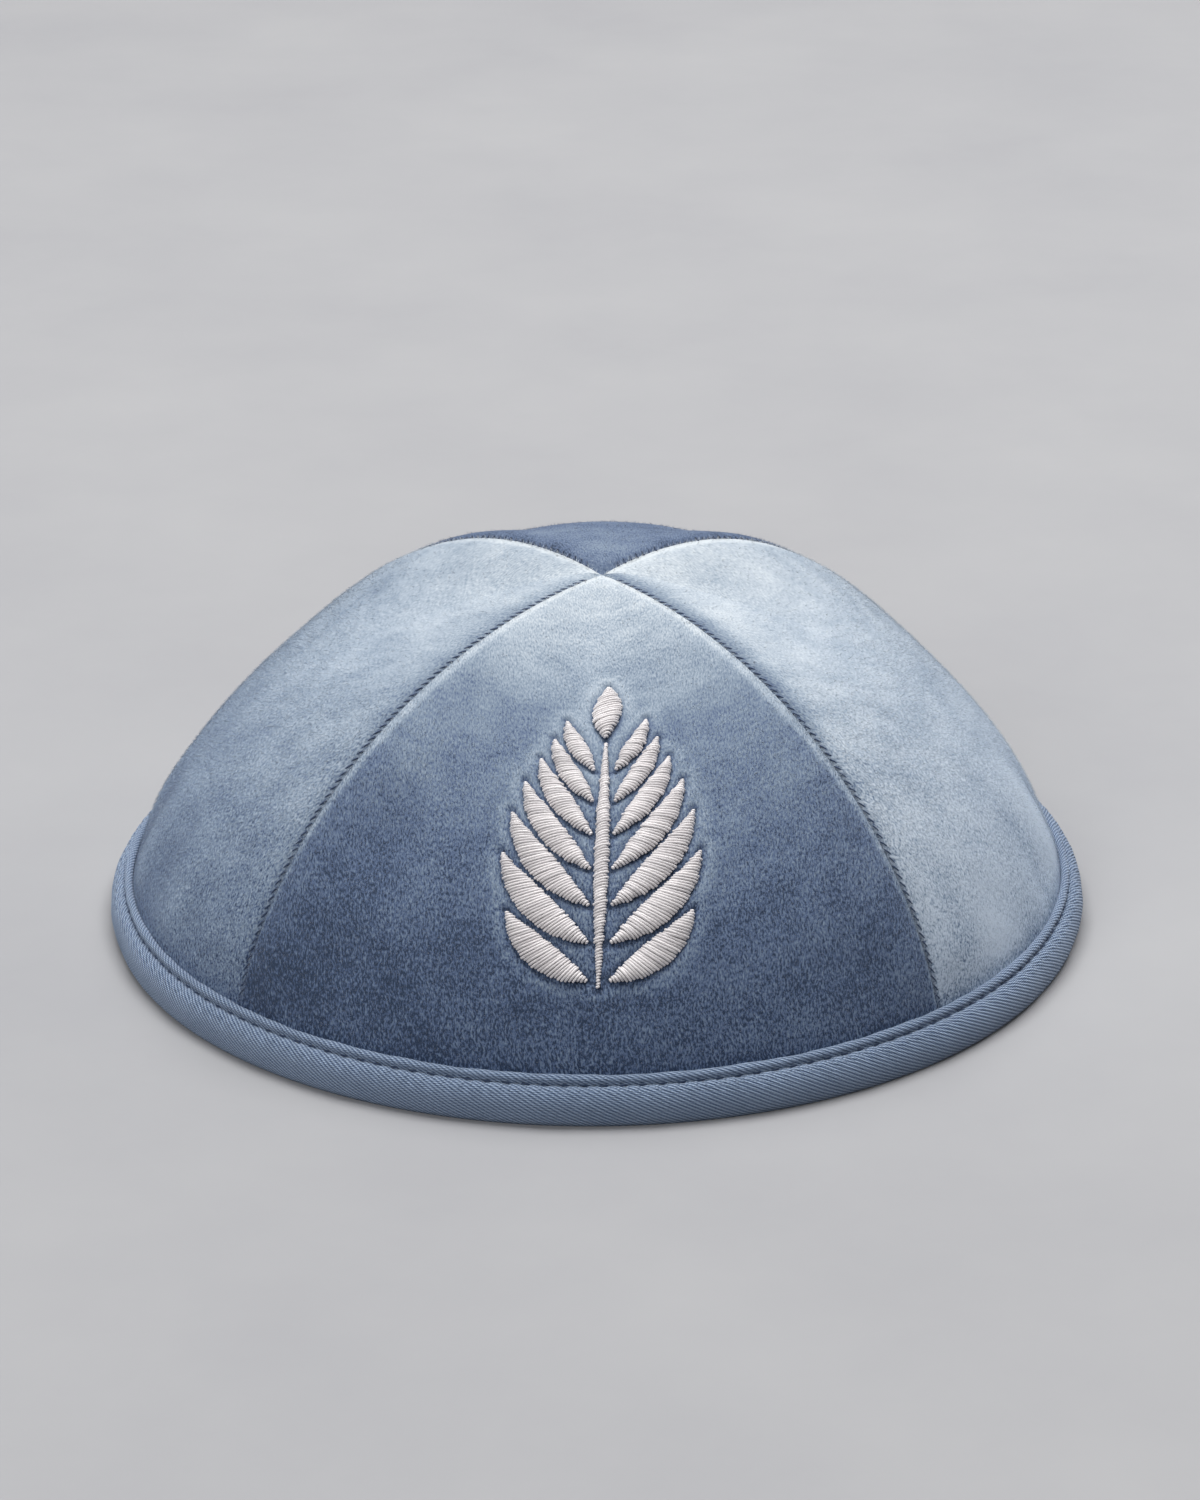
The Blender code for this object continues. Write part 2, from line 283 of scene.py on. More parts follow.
def new_piece(name, points, faces, material=None, edges=(), point_values=None, corner_uv=None):
    """A mesh object at the origin, with point attributes and a UV map of its cloth."""
    mesh = bpy.data.meshes.new(name)
    mesh.from_pydata(np.asarray(points).reshape(-1, 3).tolist(), edges, faces)
    for label, values in (point_values or {}).items():
        values = np.asarray(values, dtype=float)
        kind = "FLOAT_VECTOR" if values.ndim == 2 else "FLOAT"
        layer = mesh.attributes.new(label, kind, "POINT")
        layer.data.foreach_set("vector" if values.ndim == 2 else "value", values.ravel())
    if corner_uv is not None:
        mesh.uv_layers.new(name="cloth").data.foreach_set("uv", np.asarray(corner_uv).ravel())
    if material:
        mesh.materials.append(material)
    if faces:
        mesh.shade_smooth()
    piece = bpy.data.objects.new(name, mesh)
    bpy.context.collection.objects.link(piece)
    return piece


def outward(points, faces):
    """The faces of a closed mesh, turned round if they point inwards."""
    points = np.asarray(points).reshape(-1, 3)
    volume = 0.0
    for size in {len(face) for face in faces}:
        corners = np.array([face for face in faces if len(face) == size])
        first = points[corners[:, 0]]
        for k in range(1, size - 1):
            fan = np.cross(points[corners[:, k]], points[corners[:, k + 1]])
            volume += (first * fan).sum()
    return faces if volume > 0 else [tuple(reversed(face)) for face in faces]


def finished(piece):
    """Turns a piece and its live modifiers into a plain mesh."""
    bpy.context.view_layer.update()
    shape = piece.evaluated_get(bpy.context.evaluated_depsgraph_get())
    mesh = bpy.data.meshes.new_from_object(shape)
    piece.modifiers.clear()
    piece.data = mesh
    return piece


# Geometry Nodes


def new_tree(name, inputs):
    """An empty Geometry Nodes tree with named inputs, returned with them and its output node."""
    tree = bpy.data.node_groups.new(name, "GeometryNodeTree")
    tree.is_modifier = True
    tree.interface.new_socket("Geometry", in_out="INPUT", socket_type="NodeSocketGeometry")
    tree.interface.new_socket("Geometry", in_out="OUTPUT", socket_type="NodeSocketGeometry")
    for label, (kind, value) in inputs.items():
        socket = tree.interface.new_socket(label, in_out="INPUT", socket_type="NodeSocket" + kind)
        if value is not None:
            socket.default_value = value
    return tree, add(tree, "NodeGroupInput").outputs, add(tree, "NodeGroupOutput")


def end_tree(tree, result, shape, material):
    """Ends a tree in one smooth mesh with its material."""
    whole = add(tree, "GeometryNodeRealizeInstances", {0: shape})
    soft = add(tree, "GeometryNodeSetShadeSmooth", {0: whole})
    painted = add(tree, "GeometryNodeSetMaterial", {"Geometry": soft, "Material": material})
    plug(tree, result, {0: painted})
    return tree


def uneven_size(tree, given, sockets):
    """A random factor round 1, as far either way as the tree's unevenness says."""
    least = add(tree, "ShaderNodeMath", {0: 1.0, 1: given["Unevenness"]}, operation="SUBTRACT")
    most = add(tree, "ShaderNodeMath", {0: 1.0, 1: given["Unevenness"]}, operation="ADD")
    sockets = {2: least, 3: most, "Seed": given["Seed"], **sockets}
    return add(tree, "FunctionNodeRandomValue", sockets, data_type="FLOAT").outputs[1]


def grow(piece, tree, values):
    """Runs a Geometry Nodes tree on a piece with these values for its named inputs."""
    modifier = piece.modifiers.new(tree.name, "NODES")
    modifier.node_group = tree
    for item in tree.interface.items_tree:
        if item.in_out == "INPUT" and item.name in values:
            modifier[item.identifier] = values[item.name]
    return finished(piece)


# Materials

# Colours of the pile from pressed and shaded to pale, at shares of the tone
PILE_COLOURS = (
    (0.0, "#36445a"),
    (0.117, "#5c6d8c"),
    (0.293, "#8090a4"),
    (0.541, "#a3b1c1"),
    (1.0, "#d2dbe4"),
)
RIM_TINT = "#f0f6ff"  # the pile near the rim is a little bluer than at the crown
CROWN_TINT = "#fbf8f3"

# Patterns in the velvet's tone, turned to the lie of the pile
PILE_PATTERNS = (
    # width, length, detail, strength
    (0.30 * MM, 0.62 * MM, 1.5, 1.0),
    (0.62 * MM, 1.4 * MM, 1.0, 0.8),
    (4.5 * MM, 1.8 * MM, 2.0, 0.22),
    (11 * MM, 9 * MM, 2.0, 0.55),
)
SWIRL_SIZE = 6 * MM
SWIRL_REACH = 1.3 * MM
FLECK_TONE = 0.06875  # how much the patterns vary the darkest tone
PALE_FLECK_TONE = 0.875  # what the square of the tone adds to that
PALEST_TONE = 1.08  # where they would fade out
RIM_FLECKS = 2.3  # how many times as strong the flecks are at the rim
RIM_FLECKS_END = 0.6 * SEAM_LENGTH  # how far up they are stronger
TUFT_DROP = 0.9  # how much weaker the broader tufts are than the flecks
FLECK_RELIEF = 0.008 * MM

# Sizes of the other materials' patterns
HAIR_SIZE = 0.5 * MM
YARN_PITCH = 0.50 * MM
YARN_SHIFT = 0.37  # of a float from one wale to the next
FUZZ_SIZE = 0.35 * MM
WEAR_SIZE = 14 * MM
WEAVE_RELIEF = 0.07 * MM
FIBRE_SIZE = 0.25 * MM
DYE_SIZE = 3.5 * MM
FIBRE_RELIEF = 0.03 * MM
CLOUDS_A_METRE = 14.0


def new_material(name):
    material = bpy.data.materials.new(name)
    material.use_nodes = True
    tree = material.node_tree
    return material, tree, tree.nodes["Principled BSDF"]


def pile_colour(tree, tone):
    """The output with the pile's colour, for a tone from 0 to 1."""
    ramp = add(tree, "ShaderNodeValToRGB", {0: tone})
    stops = ramp.color_ramp.elements
    stops.remove(stops[1])
    stops[0].color = linear(PILE_COLOURS[0][1])
    for place, colour in PILE_COLOURS[1:]:
        stops.new(place).color = linear(colour)
    place = add(tree, "ShaderNodeTexCoord").outputs["Object"]
    level = add(tree, "ShaderNodeSeparateXYZ", {0: place}).outputs[2]
    sockets = {"Value": level, "From Min": RIM_LEVEL, "From Max": CROWN_LEVEL}
    share = add(tree, "ShaderNodeMapRange", sockets)
    sockets = {0: share, 6: linear(RIM_TINT), 7: linear(CROWN_TINT)}
    tint = add(tree, "ShaderNodeMix", sockets, data_type="RGBA")
    sockets = {0: 1.0, 6: ramp.outputs[0], 7: tint.outputs[2]}
    return add(tree, "ShaderNodeMix", sockets, data_type="RGBA", blend_type="MULTIPLY").outputs[2]


def velvet_material(name, heading, sheen):
    """Velvet with a short cut pile, brushed by handling.

    Fine flecks of pile that swirl, broader tufts towards the rim, soft brushed patches up to 11 mm
    wide, and a faint sheen where the pile is seen from the side. The attribute "tone" makes the pile
    darker or paler: painted light, shade and sheen of the panels, their folds, gathers and sewn
    edges, and of the velvet pressed round the sprig. Real pile is 0.05 mm thick, too fine to show,
    so the flecks are tufts of it about 0.3 by 0.6 mm.
    """
    material, tree, shader = new_material(name)
    cloth = add(tree, "ShaderNodeUVMap", uv_map="cloth")
    sockets = {"Vector": cloth, "Scale": 1 / SWIRL_SIZE}
    swirl = add(tree, "ShaderNodeTexNoise", sockets, noise_dimensions="2D")
    swirl = add(tree, "ShaderNodeVectorMath", {0: swirl.outputs[1], 3: SWIRL_REACH}, operation="SCALE")
    swirled = add(tree, "ShaderNodeVectorMath", {0: cloth, 1: swirl}, operation="ADD")
    patterns = []
    for width, length, detail, strength in PILE_PATTERNS:
        sockets = {"Vector": swirled, "Rotation": (0, 0, heading), "Scale": (width, length, 1)}
        lay = add(tree, "ShaderNodeMapping", sockets, vector_type="TEXTURE")
        sockets = {"Vector": lay, "Scale": 1.0, "Detail": detail, "Roughness": 0.6}
        noise = add(tree, "ShaderNodeTexNoise", sockets, noise_dimensions="2D")
        sockets = {"Value": noise, "From Min": 0.3, "From Max": 0.7}
        sockets.update({"To Min": -strength, "To Max": strength})
        patterns.append(add(tree, "ShaderNodeMapRange", sockets, clamp=False))
    flecks, tufts, brushed, patches = patterns
    height = add(tree, "ShaderNodeSeparateXYZ", {0: cloth}).outputs[1]
    sockets = {"Value": height, "From Max": RIM_FLECKS_END, "To Min": RIM_FLECKS, "To Max": 1.0}
    low = add(tree, "ShaderNodeMapRange", sockets)
    lower = add(tree, "ShaderNodeMath", {0: low, 1: TUFT_DROP}, operation="SUBTRACT")
    grain = add(tree, "ShaderNodeMath", {0: flecks, 1: low}, operation="MULTIPLY")
    grain = add(tree, "ShaderNodeMath", {0: tufts, 1: lower, 2: grain}, operation="MULTIPLY_ADD")
    varied = add(tree, "ShaderNodeMath", {0: brushed, 1: patches})
    varied = add(tree, "ShaderNodeMath", {0: varied, 1: grain})
    own = add(tree, "ShaderNodeAttribute", attribute_name="tone").outputs["Fac"]
    room = add(tree, "ShaderNodeMath", {0: PALEST_TONE, 1: own}, operation="SUBTRACT")
    squared = add(tree, "ShaderNodeMath", {0: own, 1: own}, operation="MULTIPLY")
    sockets = {0: squared, 1: PALE_FLECK_TONE, 2: FLECK_TONE}
    swing = add(tree, "ShaderNodeMath", sockets, operation="MULTIPLY_ADD")
    swing = add(tree, "ShaderNodeMath", {0: swing, 1: room}, operation="MULTIPLY")
    tone = add(tree, "ShaderNodeMath", {0: varied, 1: swing, 2: own}, operation="MULTIPLY_ADD")
    sockets = {"Strength": 1.0, "Distance": FLECK_RELIEF, "Height": grain}
    finish = {
        "Base Color": pile_colour(tree, tone),
        "Normal": add(tree, "ShaderNodeBump", sockets),
        "Roughness": 0.8,
        "Specular IOR Level": 0.2,
        "Sheen Weight": sheen,
        "Sheen Roughness": 0.5,
        "Sheen Tint": linear("#c9daf0"),
    }
    plug(tree, shader, finish)
    return material


def pile_material():
    """Single hairs of the velvet's pile, as pale or dark as the cloth that they stand on, painted light
    and shade included.
    """
    material, tree, shader = new_material("velvet_pile")
    place = add(tree, "ShaderNodeTexCoord").outputs["Object"]
    hairs = add(tree, "ShaderNodeTexNoise", {"Vector": place, "Scale": 1 / HAIR_SIZE, "Detail": 1.0})
    own = add(tree, "ShaderNodeAttribute", attribute_name="tone").outputs["Fac"]
    sockets = {"Value": hairs, "From Min": 0.3, "From Max": 0.7, "To Min": -0.06, "To Max": 0.12}
    share = add(tree, "ShaderNodeMapRange", sockets)
    swing = add(tree, "ShaderNodeMath", {0: own, 1: 0.2})
    tone = add(tree, "ShaderNodeMath", {0: share, 1: swing, 2: own}, operation="MULTIPLY_ADD")
    finish = {
        "Base Color": pile_colour(tree, tone),
        "Roughness": 0.6,
        "Specular IOR Level": 0.25,
        "Sheen Weight": 0.4,
        "Sheen Roughness": 0.5,
    }
    plug(tree, shader, finish)
    return material


def twill_material():
    """Woven cotton twill tape, dyed blue: slanting wales with small bright yarn floats, matt."""
    material, tree, shader = new_material("cotton_twill_tape")
    weave = add(tree, "ShaderNodeUVMap", uv_map="cloth")
    across, along = add(tree, "ShaderNodeSeparateXYZ", {0: weave}).outputs[:2]
    wale_turn = add(tree, "ShaderNodeMath", {0: across, 1: FULL_TURN}, operation="MULTIPLY")
    wale = add(tree, "ShaderNodeMath", {0: wale_turn}, operation="COSINE")
    yarn_turn = add(tree, "ShaderNodeMath", {0: along, 1: FULL_TURN / YARN_PITCH}, operation="MULTIPLY")
    sockets = {0: wale_turn, 1: YARN_SHIFT, 2: yarn_turn}
    shifted = add(tree, "ShaderNodeMath", sockets, operation="MULTIPLY_ADD")
    floats = add(tree, "ShaderNodeMath", {0: shifted}, operation="COSINE")
    dots = add(tree, "ShaderNodeMath", {0: floats, 1: 0.8, 2: wale}, operation="MULTIPLY_ADD")
    place = add(tree, "ShaderNodeTexCoord").outputs["Object"]
    fuzz = add(tree, "ShaderNodeTexNoise", {"Vector": place, "Scale": 1 / FUZZ_SIZE, "Detail": 2.0})
    wear = add(tree, "ShaderNodeTexNoise", {"Vector": place, "Scale": 1 / WEAR_SIZE, "Detail": 3.0})
    tone = add(tree, "ShaderNodeMapRange", {"Value": dots, "From Min": -1.3, "From Max": 1.5})
    tone = add(tree, "ShaderNodeMath", {0: fuzz, 1: 0.4, 2: tone}, operation="MULTIPLY_ADD")
    tone = add(tree, "ShaderNodeMath", {0: wear, 1: 0.2, 2: tone}, operation="MULTIPLY_ADD")
    tone = add(tree, "ShaderNodeMath", {0: tone, 1: 0.35}, operation="SUBTRACT", use_clamp=True)
    sockets = {0: tone, 6: linear("#42587a"), 7: linear("#b1c4dd")}
    colour = add(tree, "ShaderNodeMix", sockets, data_type="RGBA")
    height = add(tree, "ShaderNodeMath", {0: fuzz, 1: 0.8, 2: dots}, operation="MULTIPLY_ADD")
    sockets = {"Strength": 0.9, "Distance": WEAVE_RELIEF, "Height": height}
    finish = {
        "Base Color": colour.outputs[2],
        "Normal": add(tree, "ShaderNodeBump", sockets),
        "Roughness": 0.85,
        "Specular IOR Level": 0.3,
        "Sheen Weight": 0.25,
        "Sheen Roughness": 0.4,
    }
    plug(tree, shader, finish)
    return material


def thread_material(name, deep, pale, roughness, sheen):
    """Spun sewing or embroidery thread with a soft gleam.

    The attribute "shade" makes it paler. What has none is deep: the pad under the threads is painted
    this deep colour as the shade in the gaps between them.
    """
    material, tree, shader = new_material(name)
    place = add(tree, "ShaderNodeTexCoord").outputs["Object"]
    fibres = add(tree, "ShaderNodeTexNoise", {"Vector": place, "Scale": 1 / FIBRE_SIZE, "Detail": 2.0})
    dye = add(tree, "ShaderNodeTexNoise", {"Vector": place, "Scale": 1 / DYE_SIZE, "Detail": 1.0})
    tone = add(tree, "ShaderNodeMath", {0: dye, 1: 0.6, 2: fibres}, operation="MULTIPLY_ADD")
    sockets = {"Value": tone, "From Min": 0.5, "From Max": 1.1, "To Min": 0.75, "To Max": 1.0}
    tone = add(tree, "ShaderNodeMapRange", sockets)
    shade = add(tree, "ShaderNodeAttribute", attribute_name="shade").outputs["Fac"]
    tone = add(tree, "ShaderNodeMath", {0: tone, 1: shade}, operation="MULTIPLY")
    sockets = {0: tone, 6: linear(deep), 7: linear(pale)}
    colour = add(tree, "ShaderNodeMix", sockets, data_type="RGBA")
    sockets = {"Strength": 0.4, "Distance": FIBRE_RELIEF, "Height": fibres}
    finish = {
        "Base Color": colour.outputs[2],
        "Normal": add(tree, "ShaderNodeBump", sockets),
        "Roughness": roughness,
        "Sheen Weight": sheen,
        "Specular IOR Level": 0.5,
    }
    plug(tree, shader, finish)
    return material


def floor_material():
    """Smooth cast plaster, matt and pale, with faint soft clouds of tone."""
    material, tree, shader = new_material("pale_plaster")
    place = add(tree, "ShaderNodeTexCoord").outputs["Object"]
    sockets = {"Vector": place, "Scale": CLOUDS_A_METRE, "Detail": 6.0, "Roughness": 0.6}
    clouds = add(tree, "ShaderNodeTexNoise", sockets)
    share = add(tree, "ShaderNodeMapRange", {"Value": clouds, "From Min": 0.3, "From Max": 0.7})
    sockets = {0: share, 6: linear("#a1a1a4"), 7: linear("#a7a7a9")}
    colour = add(tree, "ShaderNodeMix", sockets, data_type="RGBA").outputs[2]
    plug(tree, shader, {"Base Color": colour, "Roughness": 0.8, "Specular IOR Level": 0.2})
    return material


# Sprig strokes: each is a centreline, its sideways directions, its half widths and its length

STROKE_SAMPLES = 61
STROKE_FULLNESS = 0.85  # the lower, the blunter its tips


def stroke_shape(share, width):
    """Half width of a stroke along its length: a broad middle and drawn-out tips."""
    return width / 2 * np.sin(math.pi * share) ** STROKE_FULLNESS


def straight_stroke(foot, length, width):
    share = np.linspace(0, 1, STROKE_SAMPLES)
    middle = np.stack((np.zeros_like(share), foot + length * share), axis=-1)
    sideways = np.tile((1.0, 0.0), (STROKE_SAMPLES, 1))
    return middle, sideways, stroke_shape(share, width), length


def curled_stroke(foot, length, width, lean, curl, side):
    share = np.linspace(0, 1, STROKE_SAMPLES)
    angle = lean - curl * share
    out = (np.cos(angle) - math.cos(lean)) / curl
    up = (math.sin(lean) - np.sin(angle)) / curl
    root = STEM_WIDTH / 2 + LEAF_GAP
    middle = np.stack((side * (root + length * out), foot + length * up), axis=-1)
    sideways = np.stack((side * np.cos(angle), -np.sin(angle)), axis=-1)
    return middle, sideways, stroke_shape(share, width), length


strokes = {
    "stem": straight_stroke(0.0, STEM_SHARE * SPRIG_HEIGHT, STEM_WIDTH),
    "leaf_top": straight_stroke(*(share * SPRIG_HEIGHT for share in TOP_LEAF)),
}
for number, (*sizes, lean, curl) in enumerate(LEAF_PAIRS, start=1):
    foot, length, width = (size * SPRIG_HEIGHT for size in sizes)
    lean, curl = math.radians(lean), math.radians(curl)
    for hand, side in (("left", -1), ("right", 1)):
        strokes[f"leaf_{hand}_{number}"] = curled_stroke(foot, length, width, lean, curl, side)

# Velvet panels

# Mesh fineness
PANEL_COLUMNS = 228
PANEL_ROWS = 196
TUCK_ROWS = 3
TUCK_DEPTH = 4.2 * MM
EDGE_CROWDING = 1.5

# Each panel's pile: its heading, turned from straight down to the rim, and its sheen
PILE = {"front": (0.10, 0.3), "right": (-0.55, 0.3), "back": (0.30, 0.05), "left": (0.60, 0.3)}
PILE_WANDER = 0.5
PILE_WANDER_SIZE = 14 * MM

# Faint unevenness of the cloth, away from the seams and the rim
RIPPLE_RISE = 0.05 * MM
RIPPLE_SIZE = 13 * MM
RIPPLE_FROM_SEAM = 4 * MM
RIPPLE_FROM_RIM = 3 * MM

# Painted light, shade and sheen: how pale each panel shows under the light and by the lie of its pile,
# at these shares of the way up from the rim
TONE_STOPS = (0.0, 0.15, 0.40, 0.60, 0.80, 1.0)
PANEL_LIGHT_AND_SHEEN = {
    "front": (0.10, 0.09, 0.18, 0.26, 0.57, 0.78),
    "right": (0.92, 0.82, 0.63, 0.67, 0.74, 0.79),
    "back": (0.08, 0.08, 0.09, 0.10, 0.17, 0.23),
    "left": (0.27, 0.28, 0.42, 0.50, 0.58, 0.70),
}
FOLD_SHADE = 0.55  # painted highlight on a fold's rise and painted shade in its dip: how far they change the tone
RIM_SHADE = 0.4
RIM_SHADE_WIDTH = 2.2 * MM
LOW_PART = 0.3  # share of the way up that counts as near the rim
FRONT_SLOPE = 0.5  # near the rim the front is paler to the right and darker to the left

# Painted shade and highlight of soft gathers that run up from the rim, in the velvet's tone alone
GATHER_SHADING = (
    # panel, across, half width, share of the tone
    ("right", -0.88, 0.06, -0.20),
    ("right", -0.70, 0.07, 0.10),
    ("right", -0.50, 0.07, -0.22),
    ("right", -0.36, 0.04, 0.08),
    ("left", 0.34, 0.05, -0.12),
    ("left", 0.14, 0.05, 0.16),
    ("left", 0.06, 0.04, -0.14),
)
STREAK_HEIGHT = 32 * MM
STREAK_LEAN = 0.10  # towards the panel's middle line, by its top

# Painted sheen: a pale band up the middle of the left panel, where the panel is seen side-on
SHEEN_BAND_TONE = 0.05
BAND_PLACE = -0.05
BAND_HALF_WIDTH = 0.3
BAND_START = 0.3
BAND_RISE = 0.2

# Painted highlight: a pale strip along each folded edge, where the fold catches the light, broadest a
# little above the middle
STRIP_HIGHLIGHT = 0.27
STRIP_FALL = 0.7  # how much fainter it is near the rim
STRIP_BROADEST = 0.6
STRIP_SPAN = 0.25
STRIP_WIDTH = 0.6 * MM
STRIP_WIDENING = 0.9 * MM
STRIP_FADE = 0.8 * MM
STRIP_SOFTENING = 1.1 * MM

# Shade in the ditches, from its least near the rim to its most further up
DITCH_SHADE = (0.07, 0.41)
RIGHT_DITCH_SHADE = (0.22, 0.68)
DITCH_SHADE_START = 0.30
DITCH_SHADE_RISE = 0.35
DITCH_SHADE_WIDTH = 1.4 * MM
DITCH_SHADE_WIDENING = 2.4 * MM

# Velvet pressed down by the sprig, with a pit at each stroke's tip, painted shade in the hollow and the
# pits, and a painted highlight as a pale halo round all
PRESS_DEPTH = 0.40 * MM
PRESS_REACH = 1.1 * MM
HOLLOW_SHADED_TONE = 0.45  # painted shade in the hollow round the strokes: what is left of the tone there and under the threads
HOLLOW_SHADE_REACH = 0.8 * MM
PIT_REACH = 0.7 * MM
PIT_DEPTH = 0.5 * MM
PIT_SHADE = 0.7
PIT_BEYOND = 0.35 * MM
HALO_HIGHLIGHT = 0.13
HALO_PLACE = 1.7 * MM
HALO_WIDTH = 1.0 * MM

# Nap of single hairs
NAP_DENSITY = 5.0e6  # hairs a square metre
NAP_LENGTH = 0.68 * MM
NAP_RADIUS = 0.032 * MM
NAP_LEAN = math.radians(48)
NAP_LEAN_SWING = 0.35
NAP_TURN_SWING = 1.3
NAP_LEAST_SIZE = 0.55
NAP_MOST_SIZE = 1.25
NAP_THINNING = 0.9  # the share of the hairs that is left out near the crown
NAP_THIN_START = 0.40
NAP_THIN_RISE = 0.25
EDGE_NAP = 2.0  # hairs added along the folded edges, as a share of the full nap
EDGE_NAP_PLACE = 0.3 * MM
EDGE_NAP_WIDTH = 0.5 * MM
SEAM_BARE = 0.15 * MM
RIM_BARE = 0.5 * MM
STITCH_BARE = 0.4 * MM


def stroke_distance(sideways, up):
    """Distance of points of the front panel from the nearest stroke's edge, less than 0 inside."""
    nearest = np.full(sideways.shape, 1.0)
    for middle, _, half_width, _ in strokes.values():
        for (x, y), reach in zip(middle[::3], half_width[::3]):
            nearest = np.minimum(nearest, np.hypot(sideways - x, up - y) - reach)
    return nearest


def tip_distance(sideways, up):
    """Distance of points of the front panel from the nearest pit beyond a stroke's tip."""
    nearest = np.full(sideways.shape, 1.0)
    for middle, *_ in strokes.values():
        for end, inner in ((0, 1), (-1, -2)):
            beyond = middle[end] - middle[inner]
            tip = middle[end] + beyond / np.hypot(*beyond) * PIT_BEYOND
            nearest = np.minimum(nearest, np.hypot(sideways - tip[0], up - tip[1]))
    return nearest


def crowded(columns):
    """Places -1 to 1 across a panel, closer together near both seams."""
    share = np.linspace(-1, 1, columns + 1)
    from_edge = 1 - np.abs(share)
    grown = (np.exp(EDGE_CROWDING * from_edge) - 1) / (math.exp(EDGE_CROWDING) - 1)
    return np.sign(share) * (1 - grown)


def panel_tone(panel, across, turn, up, edge, way):
    """Tone of a panel's pile, painted light, shade and sheen: its own curve, changed by folds, gathers
    and the sewn edges.
    """
    height = up / SEAM_LENGTH
    tone = np.interp(height, TONE_STOPS, PANEL_LIGHT_AND_SHEEN[panel])
    if panel != "back":
        # painted highlight and shade on the folds
        tone = tone * (1 + FOLD_SHADE * fold_rise(panel, across, turn))
    # painted shade and highlight of the gathers
    for name, place, half_width, share in GATHER_SHADING:
        if name == panel:
            lean = STREAK_LEAN * (up / STREAK_HEIGHT) * np.sign(place)
            streak = bump(across - place + lean, half_width)
            tone = tone * (1 + share * streak * (1 - smooth(up / STREAK_HEIGHT)))
    tone = tone * (1 - RIM_SHADE * bump(up, RIM_SHADE_WIDTH))
    # painted sheen up the left panel
    if panel == "left":
        band = bump(across - BAND_PLACE, BAND_HALF_WIDTH) * smooth((height - BAND_START) / BAND_RISE)
        tone = tone + SHEEN_BAND_TONE * band
    low = 1 - smooth(height / LOW_PART)
    # painted highlight along the folded edges
    broad = bump(height - STRIP_BROADEST, STRIP_SPAN)
    beyond = edge - STRIP_WIDTH - STRIP_WIDENING * broad
    strip = 1 - smooth(beyond / (STRIP_FADE + STRIP_SOFTENING * broad))
    tone = tone + STRIP_HIGHLIGHT * (1 - STRIP_FALL * low) * strip * (way > 0)
    least, most = RIGHT_DITCH_SHADE if panel == "right" else DITCH_SHADE
    upper = smooth((height - DITCH_SHADE_START) / DITCH_SHADE_RISE)
    shade = least + (most - least) * upper
    shade_width = DITCH_SHADE_WIDTH + DITCH_SHADE_WIDENING * upper
    tone = tone * (1 - shade * bump(edge, shade_width) * (way < 0))
    if panel == "front":
        tone = tone * (1 + FRONT_SLOPE * low * across)
    return tone


def panel_nap(up, edge, way):
    """How thick the hairs stand: thinner towards the crown, thicker on folded edges."""
    nap = 1 - NAP_THINNING * smooth((up / SEAM_LENGTH - NAP_THIN_START) / NAP_THIN_RISE)
    nap = nap + EDGE_NAP * bump(edge - EDGE_NAP_PLACE, EDGE_NAP_WIDTH) * (way > 0)
    return nap * smooth(edge / SEAM_BARE) * smooth((up - RIM_BARE) / RIM_BARE)


